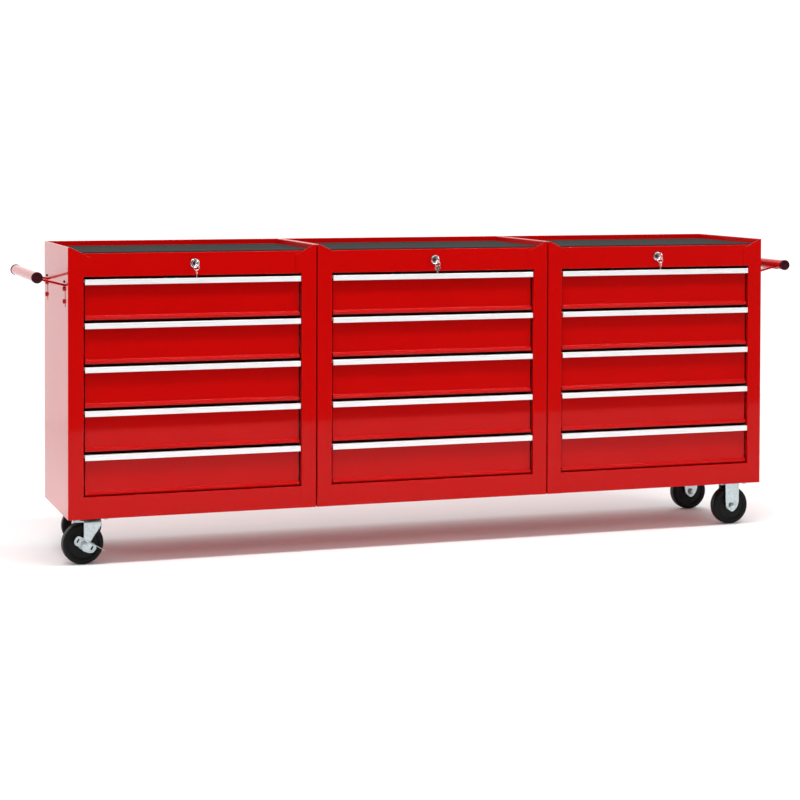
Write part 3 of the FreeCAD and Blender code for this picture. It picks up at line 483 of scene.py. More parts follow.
def thread(spots):
    """A chain of edges through several spots, drawn out of one corner."""
    clear()
    bpy.ops.mesh.primitive_plane_add(size=0.001, location=spots[0])
    piece = bpy.context.object
    bpy.ops.object.transform_apply(location=True, rotation=True, scale=True)
    bpy.ops.object.mode_set(mode="EDIT")
    bpy.ops.mesh.select_mode(type="VERT")
    bpy.ops.mesh.select_all(action="SELECT")
    bpy.ops.mesh.merge(type="CENTER")
    for here, there in zip(spots, spots[1:]):
        extrude(there - here)
    bpy.ops.mesh.select_all(action="SELECT")
    return piece


def turned(axis, centre, outline, steps=48):
    """A turned piece: an outline of (radius, along) points swept round an axis."""
    centre = Vector(centre)
    out = AXES["x" if axis != "x" else "z"]
    piece = thread([centre + out * radius + AXES[axis] * along for radius, along in outline])
    bpy.ops.mesh.spin(steps=steps, angle=math.tau, center=centre, axis=AXES[axis])
    return tidy(piece)


def stamped(right, up, corners, reach=0.0, steps=3):
    """A flat blank with corners given along two directions, rounded if a reach is given."""
    piece = thread([right * a + up * b for a, b in corners])
    bpy.ops.mesh.edge_face_add()
    if reach:
        bpy.ops.mesh.bevel(offset=reach, segments=steps, affect="VERTICES")
    clear()
    return piece


def washer(axis, centre, inner, outer, half, steps=40):
    """A flat ring with broken edges."""
    edge = half * 0.3
    return turned(axis, centre, [
        (inner, -half + edge), (inner + edge, -half), (outer - edge, -half), (outer, -half + edge),
        (outer, half - edge), (outer - edge, half), (inner + edge, half), (inner, half - edge),
        (inner, -half + edge)], steps)


def shaft(axis, centre, radius, start, finish, steps=24):
    """A round bar with a chamfer at each end."""
    edge = radius * 0.12
    return turned(axis, centre, [(0, start), (radius - edge, start), (radius, start + edge),
                                 (radius, finish - edge), (radius - edge, finish), (0, finish)], steps)


def dome(axis, centre, radius, start, height):
    """A low domed head whose flat foot lies at start."""
    rim = height * 0.2
    arc = []
    for degrees in range(0, 91, 15):
        angle = math.radians(degrees)
        arc.append((radius * math.cos(angle), start + rim + (height - rim) * math.sin(angle)))
    return turned(axis, centre, [(0, start), (radius, start)] + arc, 32)


def nut(axis, centre, radius, start, finish):
    return shaft(axis, centre, radius, start, finish, 6)


def turn_about(centre, angle, axis="Z"):
    return Matrix.Translation(centre) @ Matrix.Rotation(angle, 4, axis)


# ---------------------------------------------------------------- finishes

def start_finish(name, **sockets):
    material = bpy.data.materials.new(name)
    material.use_nodes = True
    shader = material.node_tree.nodes["Principled BSDF"]
    for socket, value in sockets.items():
        words = socket.replace("_", " ")
        shader.inputs[words].default_value = (*value, 1) if words == "Base Color" else value
    return material, shader


def grain(material, kind, scale, stretch=(1, 1, 1), **settings):
    """A noise or cell pattern on the piece's own coordinates."""
    nodes, links = material.node_tree.nodes, material.node_tree.links
    place = nodes.new("ShaderNodeTexCoord")
    mapping = nodes.new("ShaderNodeMapping")
    mapping.inputs["Scale"].default_value = stretch
    texture = nodes.new(kind)
    texture.inputs["Scale"].default_value = scale
    for name, value in settings.items():
        texture.inputs[name].default_value = value
    links.new(place.outputs["Object"], mapping.inputs["Vector"])
    links.new(mapping.outputs["Vector"], texture.inputs["Vector"])
    return texture.outputs[0]


def tint(material, shader, source, dark, light, low=0.35, high=0.65):
    """Let the colour wander between two values."""
    nodes, links = material.node_tree.nodes, material.node_tree.links
    ramp = nodes.new("ShaderNodeValToRGB")
    for element, place, value in zip(ramp.color_ramp.elements, (low, high), (dark, light)):
        element.position = place
        element.color = (*value, 1)
    links.new(source, ramp.inputs["Fac"])
    links.new(ramp.outputs["Color"], shader.inputs["Base Color"])


def spread_out(tree, source, given, wanted):
    """Carry a given range of values over to a wanted one."""
    spread = tree.nodes.new("ShaderNodeMapRange")
    for name, value in zip(("From Min", "From Max", "To Min", "To Max"), given + wanted):
        spread.inputs[name].default_value = value
    tree.links.new(source, spread.inputs["Value"])
    return spread.outputs["Result"]


def gloss(material, shader, source, low, high):
    """Let the roughness wander between two values."""
    rough = spread_out(material.node_tree, source, (0.3, 0.7), (low, high))
    material.node_tree.links.new(rough, shader.inputs["Roughness"])


def relief(material, shader, source, strength, depth):
    """Raise the pattern as a fine bump."""
    nodes, links = material.node_tree.nodes, material.node_tree.links
    bump = nodes.new("ShaderNodeBump")
    bump.inputs["Strength"].default_value = strength
    bump.inputs["Distance"].default_value = depth
    links.new(source, bump.inputs["Height"])
    links.new(bump.outputs["Normal"], shader.inputs["Normal"])


def shades(value, factor):
    return tuple(min(1, part * factor) for part in value)


def gloss_paint(name="gloss_paint", factor=1.0):
    """Baked enamel: a deep red under a clear skin with a faint orange peel."""
    colours = bpy.context.scene.chest_colours
    material, shader = start_finish(name, Roughness=0.30, IOR=1.12, Coat_Weight=1.0,
                                    Coat_Roughness=0.04, Coat_IOR=1.20)
    cloud = grain(material, "ShaderNodeTexNoise", 9, Detail=3.0)
    tint(material, shader, cloud, shades(colours.paint_deep, factor), shades(colours.paint, factor))
    peel = grain(material, "ShaderNodeTexNoise", 520, Detail=2.0)
    gloss(material, shader, peel, 0.30, 0.38)
    relief(material, shader, peel, 0.03, 0.0002)
    return material


def satin_aluminium():
    """Brushed along its length and clear anodised."""
    value = bpy.context.scene.chest_colours.aluminium
    material, shader = start_finish("satin_aluminium", Metallic=0.35, Roughness=0.42)
    brush = grain(material, "ShaderNodeTexNoise", 900, stretch=(0.012, 1, 1), Detail=3.0)
    tint(material, shader, brush, shades(value, 0.95), shades(value, 1.04))
    gloss(material, shader, brush, 0.36, 0.50)
    relief(material, shader, brush, 0.12, 0.0001)
    return material


def mat_rubber():
    """Matt rubber with a fine pebbled skin."""
    value = bpy.context.scene.chest_colours.rubber
    material, shader = start_finish("mat_rubber", Roughness=0.8, IOR=1.2,
                                    Specular_IOR_Level=0.15)
    pebble = grain(material, "ShaderNodeTexVoronoi", 420)
    wear = grain(material, "ShaderNodeTexNoise", 14, Detail=5.0)
    tint(material, shader, wear, shades(value, 0.9), shades(value, 1.1))
    gloss(material, shader, wear, 0.72, 0.88)
    relief(material, shader, pebble, 0.35, 0.0004)
    return material


def tyre_rubber():
    """Moulded black rubber, a little shiny, with fine mould marks."""
    value = bpy.context.scene.chest_colours.tyre
    material, shader = start_finish("tyre_rubber", Roughness=0.42, IOR=1.26)
    marks = grain(material, "ShaderNodeTexNoise", 260, Detail=5.0)
    tint(material, shader, marks, shades(value, 0.7), shades(value, 1.5))
    gloss(material, shader, marks, 0.34, 0.52)
    relief(material, shader, marks, 0.15, 0.0003)
    return material


def plated(name, metal, low, high, cells=170, strength=0.05):
    """Metal of one of the chest's colours, with faint crystals and rolling marks."""
    value = getattr(bpy.context.scene.chest_colours, metal)
    material, shader = start_finish(name, Metallic=1.0, Roughness=low)
    crystal = grain(material, "ShaderNodeTexVoronoi", cells, Randomness=1.0)
    tint(material, shader, crystal, shades(value, 0.86), shades(value, 1.08), 0.1, 0.8)
    rolling = grain(material, "ShaderNodeTexNoise", 90, stretch=(1, 1, 0.15), Detail=4.0)
    gloss(material, shader, rolling, low, high)
    relief(material, shader, rolling, strength, 0.0003)
    return material


def zinc_plate():
    return plated("zinc_plate", "zinc", 0.26, 0.40)


def dark_race():
    """The greased ball race, a dark grey-green."""
    return plated("dark_race", "race", 0.30, 0.46)


def runner_steel():
    """Rolled steel, darkened as painted shade for the gaps beside the drawers."""
    return plated("runner_steel", "runner", 0.35, 0.50)


def bright_chrome():
    return plated("bright_chrome", "chrome", 0.07, 0.14, 60, 0.01)


# the plug's colour carries painted shade and a painted reflection of the red paint round the lock
def plug_metal():
    return plated("plug_metal", "plug", 0.22, 0.36, 300)


def key_nickel():
    return plated("key_nickel", "key", 0.20, 0.34, 400)


def black_stud():
    return plated("black_stud", "stud", 0.35, 0.5, 500)


def cap_plastic():
    """Moulded plastic with a fine spark-eroded texture."""
    value = bpy.context.scene.chest_colours.cap
    material, shader = start_finish("cap_plastic", Roughness=0.5, IOR=1.2)
    spark = grain(material, "ShaderNodeTexNoise", 700, Detail=3.0)
    tint(material, shader, spark, shades(value, 0.7), shades(value, 1.3))
    gloss(material, shader, spark, 0.42, 0.60)
    relief(material, shader, spark, 0.2, 0.0002)
    return material


def bar_paint():
    """The push bars' paint, a shade deeper than the cabinets'."""
    return gloss_paint("bar_paint", 0.92)


def studio_floor():
    value = bpy.context.scene.chest_colours.floor
    material, shader = start_finish("studio_floor", Roughness=0.9)
    cloud = grain(material, "ShaderNodeTexNoise", 1.5, Detail=2.0)
    tint(material, shader, cloud, shades(value, 0.99), shades(value, 1.01))
    return material


# Each finish is made once, when a piece first asks for it.
FINISHES = {maker.__name__: cache(maker) for maker in (
    gloss_paint, bar_paint, satin_aluminium, mat_rubber, tyre_rubber, zinc_plate, dark_race,
    runner_steel, bright_chrome, plug_metal, key_nickel, black_stud, cap_plastic, studio_floor)}


# ---------------------------------------------------------------- cabinets

def for_each_cabinet(piece, kind, finish, node):
    """Put one copy of a piece drawn about X = 0 on every cabinet."""
    for name in CABINETS:
        one = repeat(piece, Matrix.Translation((CENTRES[name], 0, 0)))
        install(one, kind + "_" + name, "chest", finish, node.format(cabinet=name))
    discard(piece)


class CHEST_OT_shells(bpy.types.Operator):
    """Fold the side, back and stile sheets of each cabinet, with their rims and sloping ears"""
    bl_idname = "chest.shells"
    bl_label = "Cabinet shells"

    def execute(self, context):
        sizes = context.scene.chest_cabinet
        opening = HALF - sizes.stile
        brow = TOP - sizes.ear_drop
        rail_foot = brow - sizes.top_rail
        piece = block((-HALF, FRONT, UNDER), (HALF, BACK, TOP))
        remove(piece, lambda p: near(p.z, TOP))
        remove(piece, lambda p: near(p.z, UNDER))

        def front(p):
            return near(p.y, FRONT)

        for side in (-1, 1):
            for place in (opening, HALF - sizes.ear_run, HALF - sizes.rim):
                slice_at(piece, "x", side * place, front)
        lip_low, lip_high = UNDER + sizes.bottom_rail - sizes.lap, rail_foot + sizes.lap
        for height in (lip_high, lip_low):
            slice_at(piece, "z", height, front)
        remove(piece, lambda p: front(p) and abs(p.x) < opening + TOUCH)
        # rims along the sides and the back, folded in and down
        pick(piece, lambda p: near(p.z, TOP) and (near(abs(p.x), HALF) or near(p.y, BACK)))
        shrink = ((HALF - sizes.rim) / HALF, (BACK - FRONT - sizes.rim) / (BACK - FRONT), 1)
        extrude((0, 0, 0), shrink, Vector((0, FRONT, TOP)))
        extrude((0, 0, -sizes.rim_height))
        open_up(piece, "VERT")
        bpy.ops.mesh.select_all(action="SELECT")
        bpy.ops.mesh.remove_doubles(threshold=TOUCH)
        # the ears slope down to the rail and carry on as tongues that lap over it
        slope = sizes.ear_drop / (sizes.ear_run - sizes.rim)
        ear_root = HALF - sizes.ear_run
        pick(piece, lambda p: front(p) and near(p.z, TOP) and abs(p.x) < ear_root + TOUCH, "VERT")
        bpy.ops.transform.translate(value=(0, 0, -sizes.ear_drop))
        for side in (-1, 1):
            def edge(p):
                return near(p.x, side * opening) and front(p)

            def tongue_top(p):
                return near(p.x, side * (opening - sizes.tongue)) and p.z > brow - sizes.ear_drop

            pick(piece, lambda p: edge(p) and near(p.z, brow), "VERT")
            bpy.ops.transform.translate(value=(0, 0, -slope * (ear_root - opening)))
            pick(piece, lambda p: edge(p) and p.z > lip_high - TOUCH)
            extrude((-side * sizes.tongue, 0, 0))
            pick(piece, tongue_top, "VERT")
            bpy.ops.transform.translate(value=(0, 0, -slope * sizes.tongue))
            pick(piece, lambda p: edge(p) and lip_low - TOUCH < p.z < lip_high + TOUCH)
            extrude((0, sizes.lip, 0))
        round_folds(piece, sizes.fold)
        thicken(piece, sizes.gauge)
        soften(piece, sizes.edge, 2, 60)
        hems = []
        for side in (-1, 1):
            top = Vector((side * (HALF - sizes.rim), FRONT + sizes.hem / 2, TOP - sizes.hem))
            run = HALF - sizes.rim - opening + sizes.tongue
            way = Vector((-side * run, 0, -slope * run))
            hem = shaft("x", (0, 0, 0), sizes.hem, 0, way.length, 16)
            turn = way.to_track_quat("X", "Z").to_matrix().to_4x4()
            hems.append(put(hem, Matrix.Translation(top) @ turn))
        piece = smooth(join([piece] + hems))
        for_each_cabinet(piece, "shell", "gloss_paint", "cabinet_shell_{cabinet}")
        return {"FINISHED"}


def rail_sheet(sizes, path):
    """Sheet folded into a rail between the stiles and widened behind them to the side sheets."""
    opening = HALF - sizes.stile - SKIN
    wide = HALF - sizes.gauge * 1.5
    piece = strip("x", -opening, opening, path)
    for side in (-1, 1):
        pick(piece, lambda p: near(p.x, side * opening) and p.y > shelf(sizes) - TOUCH)
        extrude((side * (wide - opening), 0, 0))
    thicken(piece, sizes.gauge)
    return piece


def shelf(sizes):
    """Where the sheets widen, just behind the stiles' folds."""
    return FRONT + sizes.gauge * 2.9


class CHEST_OT_trays(bpy.types.Operator):
    """Fold each top tray down in front into the rail that carries the lock"""
    bl_idname = "chest.trays"
    bl_label = "Top trays and rails"

    def execute(self, context):
        sizes = context.scene.chest_cabinet
        brow = TOP - sizes.ear_drop
        foot = brow - sizes.top_rail
        face = FRONT + sizes.rail_step
        back = BACK - sizes.gauge * 1.5
        piece = rail_sheet(sizes, [
            (FRONT + sizes.lip, foot, 0),
            (face, foot, 0.0012),
            (face, brow, 0.0016),
            (shelf(sizes), brow, 0),
            (back, brow, 0)])
        for_each_cabinet(smooth(piece), "tray", "gloss_paint", "top_trays")
        return {"FINISHED"}


def bolt_spots(sizes, x, row):
    """Where the four bolts of a castor's plate stand, round the castor's middle."""
    return [(x + i * sizes.bolts_long / 2, CASTOR_Y[row] + j * sizes.bolts_wide / 2)
            for i in (-1, 1) for j in (-1, 1)]


class CHEST_OT_pans(bpy.types.Operator):
    """Fold each bottom pan with its front rail and rear lip, and punch its castor holes"""
    bl_idname = "chest.pans"
    bl_label = "Bottom pans"

    def execute(self, context):
        sizes, castor = context.scene.chest_cabinet, context.scene.chest_castor
        back = BACK - sizes.gauge
        high = UNDER + sizes.bottom_rail
        piece = rail_sheet(sizes, [
            (back, UNDER + sizes.rear_lip, 0),
            (back, UNDER, 0.001),
            (shelf(sizes), UNDER, 0),
            (FRONT, UNDER, 0.0015),
            (FRONT, high, 0.0017),
            (FRONT + sizes.lip, high, 0)])
        reach = HALF - (END - CASTOR_X)
        punches = [shaft("z", (x, y, UNDER), castor.bolt_hole, -0.004, 0.006, 20)
                   for side in (-1, 1) for row in ROWS for x, y in bolt_spots(castor, side * reach, row)]
        punch = join(punches)
        modify(piece, "BOOLEAN", object=punch, operation="DIFFERENCE", solver="EXACT")
        discard(punch)
        for_each_cabinet(smooth(piece), "pan", "gloss_paint", "bottom_pans")
        return {"FINISHED"}


class CHEST_OT_mats(bpy.types.Operator):
    """Lay a rubber mat with rounded corners in each top tray"""
    bl_idname = "chest.mats"
    bl_label = "Rubber mats"

    def execute(self, context):
        sizes = context.scene.chest_cabinet
        low = TOP - sizes.ear_drop
        reach = HALF - sizes.rim - sizes.mat_gap
        piece = block((-reach, FRONT + sizes.mat_gap, low),
                      (reach, BACK - sizes.rim - sizes.mat_gap, low + sizes.mat))
        round_corners(piece, sizes.mat_corner)
        soften(piece, 0.0007, 3, 50)
        for_each_cabinet(smooth(piece), "mat", "mat_rubber", "top_mats")
        return {"FINISHED"}


# ---------------------------------------------------------------- drawers

def drawer_place(name, k):
    """The middle of a drawer's pull top, at the cabinet's front plane."""
    return Vector((CENTRES[name], FRONT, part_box("drawer_pull_%s_%d" % (name, k))[1].z))


def for_each_drawer(piece, kind, body_prefix, finish, node_prefix=None):
    """Put one copy of a piece drawn about the origin on every drawer."""
    for name in CABINETS:
        for k in DRAWERS:
            one = repeat(piece, Matrix.Translation(drawer_place(name, k)))
            nodes = ["%s_%s_%d" % (node_prefix, name, k)] if node_prefix else []
            install(one, "%s_%s_%d" % (kind, name, k), "%s_%s_%d" % (body_prefix, name, k), finish,
                    *nodes)
    discard(piece)


def drawer_face(sizes, cabinet):
    """The face between the stiles, with its side returns and its flared band."""
    edge = HALF - cabinet.stile - sizes.face_gap
    foot = -sizes.face
    band = sizes.recess - sizes.band_reach
    meet = sizes.start - cabinet.gauge / 5
    face = strip("x", -edge, edge, [
        (meet, foot, 0),
        (band + sizes.band_tuck, foot, 0.0026),
        (band, foot + sizes.band_crest, 0.0013),
        (sizes.recess, foot + sizes.band, 0.0014),
        (sizes.recess, -sizes.rim_drop, 0),
        (sizes.recess, -sizes.pull_gauge - SKIN, 0)])
    for side in (-1, 1):
        pick(face, lambda p: near(p.x, side * edge) and near(p.y, sizes.recess)
             and p.z < -sizes.rim_drop + TOUCH)
        extrude((0, meet - sizes.recess, 0))
    round_folds(face, 0.0011, 3, lambda p: near(abs(p.x), edge) and near(p.y, sizes.recess))
    thicken(face, cabinet.gauge)
    return face


def drawer_tray(sizes, gauge):
    """The box behind the face, with a hemmed rim and a slot for the locking bar's hook."""
    foot, rim = -sizes.face, -sizes.rim_drop
    half = sizes.width / 2
    tray = block((-half, sizes.start, foot), (half, sizes.end, rim))
    remove(tray, lambda p: near(p.z, rim))

    def floor(p):
        return near(p.z, foot)

    def slot(p):
        return (floor(p) and sizes.slot_left - TOUCH < p.x < sizes.slot_right + TOUCH
                and sizes.slot_start - TOUCH < p.y < sizes.slot_end + TOUCH)

    for place in (sizes.slot_left, sizes.slot_right):
        slice_at(tray, "x", place, floor)
    for place in (sizes.slot_start, sizes.slot_end):
        slice_at(tray, "y", place, floor)
    remove(tray, slot)
    pick(tray, lambda p: near(p.z, rim))
    deep = (sizes.end - sizes.start) / 2
    shrink = ((half - sizes.hem) / half, (deep - sizes.hem) / deep, 1)
    extrude((0, 0, 0), shrink, Vector((0, sizes.start + deep, rim)))
    extrude((0, 0, -sizes.hem_drop))
    round_folds(tray, 0.0016, 3)
    thicken(tray, gauge)
    return tray


class CHEST_OT_drawers(bpy.types.Operator):
    """Fold the fifteen drawers: a face with a flared band, and a tray with hemmed walls"""
    bl_idname = "chest.drawers"
    bl_label = "Drawers"

    def execute(self, context):
        sizes, cabinet = context.scene.chest_drawer, context.scene.chest_cabinet
        piece = smooth(join([drawer_face(sizes, cabinet), drawer_tray(sizes, cabinet.gauge)]))
        for_each_drawer(piece, "tray", "drawer", "gloss_paint", "drawer")
        return {"FINISHED"}


class CHEST_OT_slides(bpy.types.Operator):
    """Fold the moving channels on both sides of every drawer"""
    bl_idname = "chest.slides"
    bl_label = "Drawer slides"

    def execute(self, context):
        sizes = context.scene.chest_drawer
        start = sizes.start + sizes.slide_start
        high = -sizes.slide_drop + sizes.slide / 2
        low = high - sizes.slide
        web = sizes.width / 2
        flange = web + sizes.slide_depth
        channels = []
        for side in (-1, 1):
            channel = strip("y", start, start + sizes.slide_length, [
                (side * flange, high, 0),
                (side * web, high, 0.001),
                (side * web, low, 0.001),
                (side * flange, low, 0)])
            thicken(channel, sizes.slide_gauge, outward=side < 0)
            channels.append(channel)
            for part in (0.1, 0.5, 0.9):
                spot = (side * (web + sizes.slide_gauge), start + part * sizes.slide_length,
                        -sizes.slide_drop)
                channels.append(dome("x", spot, sizes.rivet, 0, side * sizes.rivet_height))
        piece = smooth(tidy(join(channels)))
        for_each_drawer(piece, "slides", "drawer", "zinc_plate")
        return {"FINISHED"}


class CHEST_OT_pulls(bpy.types.Operator):
    """Draw the aluminium pull with its fine groove, one on every drawer"""
    bl_idname = "chest.pulls"
    bl_label = "Drawer pulls"

    def execute(self, context):
        sizes = context.scene.chest_drawer
        edge = HALF - context.scene.chest_cabinet.stile - sizes.pull_gap
        nose = -sizes.pull_reach
        back = sizes.recess + sizes.pull_lap
        groove = -sizes.pull * 0.52
        piece = strip("x", -edge, edge, [
            (nose, -sizes.pull, 0),
            (nose, groove - sizes.groove, 0),
            (nose + sizes.groove_depth, groove, 0),
            (nose, groove + sizes.groove, 0),
            (nose, 0, 0.0013),
            (back, 0, 0.0008),
            (back, -sizes.pull_hook, 0)])
        thicken(piece, sizes.pull_gauge)
        soften(piece, 0.00025, 2, 60)
        for_each_drawer(smooth(piece), "pull", "drawer", "satin_aluminium", "drawer_pull")
        return {"FINISHED"}


# ---------------------------------------------------------------- locks and keys

class CHEST_OT_locks(bpy.types.Operator):
    """Turn the dished bezels and barrels of the locks, with their nuts"""
    bl_idname = "chest.locks"
    bl_label = "Lock bezels"

    def execute(self, context):
        sizes = context.scene.chest_lock
        rim, depth, bore = sizes.bezel, sizes.bezel_depth, sizes.plug + SKIN
        for name in CABINETS:
            centre = (CENTRES[name], FRONT, LOCK_HEIGHT)
            housing = turned("y", centre, [
                (bore, sizes.barrel_length), (bore, -0.0012), (bore + 0.0008, -0.0016),
                (rim * 0.74, -0.0014), (rim * 0.84, -depth * 0.86), (rim * 0.90, -depth),
                (rim * 0.96, -depth * 0.9), (rim, -depth * 0.45), (rim, 0), (sizes.barrel, 0),
                (sizes.barrel, sizes.barrel_length), (bore, sizes.barrel_length)], 64)
            clamp = nut("y", centre, sizes.barrel + 0.004, 0.0016, 0.0054)
            bezel = smooth(join([housing, clamp]))
            install(bezel, "bezel_" + name, "chest", "bright_chrome", "lock_housings")
        return {"FINISHED"}


def turning_core(sizes, axis):
    """The plug with its long tail, and the crank whose pin lifts the locking bar."""
    plug = turned("y", axis, [
        (0, -0.0018), (sizes.plug * 0.72, -0.0018), (sizes.plug * 0.86, -0.0024),
        (sizes.plug, -0.0020), (sizes.plug, sizes.barrel_length), (0, sizes.barrel_length)], 40)
    tail = shaft("y", axis, sizes.tail, sizes.barrel_length - 0.002, sizes.tail_end)
    half, end = sizes.crank_half, sizes.tail_end
    crank = block(axis + Vector((-half, end - half, -half)), axis + Vector((sizes.crank, end, half)))
    soften(crank, 0.001)
    pin = shaft("y", axis + Vector((sizes.pin_reach, 0, 0)), sizes.pin, end - 0.002,
                end + sizes.pin_reach)
    return smooth(join([plug, tail, crank, pin]))


def fitted_key(sizes, axis):
    """The key in the plug: a round grip with a hole, on a short neck."""
    bow = washer("x", axis - Vector((0, sizes.bow_reach, 0)), sizes.bow_hole, sizes.bow - 0.0005,
                 sizes.key / 2)
    edge = [(-sizes.bow_reach + sizes.bow_hole + 0.0015, 0.0045), (-0.009, 0.0045), (-0.008, 0.0034),
            (0, 0.0034)]
    neck = stamped(AXES["y"], AXES["z"], [(y, -z) for y, z in edge] + edge[::-1], 0.0005)
    modify(neck, "SOLIDIFY", thickness=sizes.key * 0.92, offset=0)
    soften(neck, 0.0002, 2, 50)
    put(tidy(neck), Matrix.Translation(axis))
    return smooth(join([bow, neck]))


def split_ring(sizes, centre):
    """A ring of round wire."""
    clear()
    bpy.ops.mesh.primitive_circle_add(
        vertices=12, radius=sizes.wire, location=centre + AXES["x"] * sizes.ring)
    ring = bpy.context.object
    bpy.ops.object.transform_apply(location=True, rotation=True, scale=True)
    bpy.ops.object.mode_set(mode="EDIT")
    bpy.ops.mesh.select_all(action="SELECT")
    bpy.ops.mesh.spin(steps=48, angle=math.tau, center=centre, axis=AXES["y"])
    return smooth(tidy(ring))


def spare_key(sizes):
    """The hanging key, drawn edge-on with the lock's axis at the origin."""
    bow_z, tip = -sizes.spare_drop, -sizes.spare_tip
    bow = washer("x", (0, 0, bow_z), 0.0026, sizes.spare_bow, sizes.key * 0.4)
    top = bow_z - sizes.spare_bow * 0.6
    half = 0.0026
    teeth = [(0.0008, 0.0012), (0.0022, 0.0024), (0.0036, 0.0011), (0.0052, 0.0022), (0.0068, 0.0013)]
    outline = [(-half, top), (-half, tip + 0.0022), (-0.0004, tip)]
    outline += [(reach, tip + rise) for rise, reach in teeth]
    outline += [(half, tip + 0.0080), (half, top)]
    blade = stamped(AXES["y"], AXES["z"], outline)
    modify(blade, "SOLIDIFY", thickness=sizes.key * 0.7, offset=0)
    soften(blade, 0.0002, 2, 50)
    return smooth(join([bow, tidy(blade)]))


class CHEST_OT_keys(bpy.types.Operator):
    """Make each plug with its key and tail, and the split ring with the spare key"""
    bl_idname = "chest.keys"
    bl_label = "Plugs and keys"

    def execute(self, context):
        sizes = context.scene.chest_lock
        for name in CABINETS:
            axis = Vector((CENTRES[name], FRONT, LOCK_HEIGHT))
            grip = axis - Vector((0, sizes.bow_reach, 0))
            install(turning_core(sizes, axis), "plug_" + name, "lock_" + name, "plug_metal",
                    "lock_plug_" + name)
            install(fitted_key(sizes, axis), "key_" + name, "lock_" + name, "key_nickel")
            ring = split_ring(sizes, grip - Vector((0, 0, sizes.ring_drop)))
            install(ring, "split_ring_" + name, "ring_" + name, "bright_chrome", "key_ring_" + name)
            spare = put(spare_key(sizes), turn_about(grip, SPARE_TURNS[name]))
            install(spare, "spare_key_" + name, "ring_" + name, "key_nickel")
        return {"FINISHED"}


# ---------------------------------------------------------------- push bars

class CHEST_OT_bars(bpy.types.Operator):
    """Make the push-bar tubes and their end caps"""
    bl_idname = "chest.bars"
    bl_label = "Push bars"

    def execute(self, context):
        sizes = context.scene.chest_bar
        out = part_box("push_bars")[1].x - sizes.tube
        depth = BACK - FRONT
        for name, side in SIDES.items():
            axis = Vector((side * out, FRONT, TUBE_HEIGHT))
            inner, edge = sizes.tube - sizes.wall, 0.0004
            rounding, dish, plugged = 0.002, 0.0012, 0.019
            tube = turned("y", axis, [
                (inner, sizes.cap), (sizes.tube - edge, sizes.cap), (sizes.tube, sizes.cap + edge),
                (sizes.tube, depth - sizes.cap - edge), (sizes.tube - edge, depth - sizes.cap),
                (inner, depth - sizes.cap), (inner, sizes.cap)], 64)
            install(smooth(tube), "tube_" + name, "chest", "bar_paint", "push_bars")
            for row, face, way in (("front", 0, 1), ("rear", depth, -1)):
                outline = [(0, dish), (sizes.cap_radius * 0.62, dish), (sizes.cap_radius * 0.70, 0)]
                for degrees in range(0, 91, 18):
                    angle = math.radians(degrees)
                    outline.append((sizes.cap_radius - rounding * (1 - math.sin(angle)),
                                    rounding * (1 - math.cos(angle))))
                outline += [(sizes.cap_radius, sizes.cap), (inner - SKIN, sizes.cap),
                            (inner - SKIN, plugged), (0, plugged)]
                cap = turned("y", axis, [(radius, face + way * depth_in) for radius, depth_in in outline])
                install(smooth(cap), "cap_%s_%s" % (name, row), "chest", "cap_plastic", "push_bar_caps")
        return {"FINISHED"}


def push_arm(sizes, side, y):
    """One arm: a flange on the side sheet, a rising strap and a cradle under the tube."""
    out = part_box("push_bars")[1].x - sizes.tube - END
    low, high = FRONT + y - sizes.arm / 2, FRONT + y + sizes.arm / 2

    def x(reach):
        return side * (END + reach)

    root = TUBE_HEIGHT - sizes.root_drop
    flange = strip("y", low, high, [(x(0), TUBE_HEIGHT - sizes.flange, 0), (x(0), root, 0)])
    strap = strip("y", low, high, [
        (x(0.0002), root, 0), (x(out - sizes.tube), TUBE_HEIGHT - sizes.end_drop, 0)])
    bed = sizes.tube + SKIN
    hollow = []
    for degrees in range(184, 263, 13):
        angle = math.radians(degrees)
        hollow.append((x(out + bed * math.cos(angle)), TUBE_HEIGHT + bed * math.sin(angle), 0))
    cradle = strip("y", low, high, hollow)
    for part, gauge in ((flange, sizes.flange_gauge), (strap, sizes.strap), (cradle, sizes.flange_gauge)):
        thicken(part, gauge, outward=side > 0)
        soften(part, 0.0003, 2, 50)
    return smooth(join([flange, strap, cradle]))


class CHEST_OT_arms(bpy.types.Operator):
    """Fold the arms: a flange on the side sheet, a rising strap and a cradle under the tube"""
    bl_idname = "chest.arms"
    bl_label = "Push-bar arms"

    def execute(self, context):
        sizes = context.scene.chest_bar
        for name, side in SIDES.items():
            for row, y in (("front", sizes.arm_front), ("rear", sizes.arm_rear)):
                install(push_arm(sizes, side, y), "arm_%s_%s" % (name, row), "chest", "bar_paint",
                        "push_bar_arms")
        return {"FINISHED"}


def screw_spots(sizes, x):
    """Where four screws stand in the plane at x, two for each arm."""
    return [(x, FRONT + y, TUBE_HEIGHT - drop) for y in (sizes.arm_front, sizes.arm_rear)
            for drop in (sizes.upper_screw, sizes.lower_screw)]


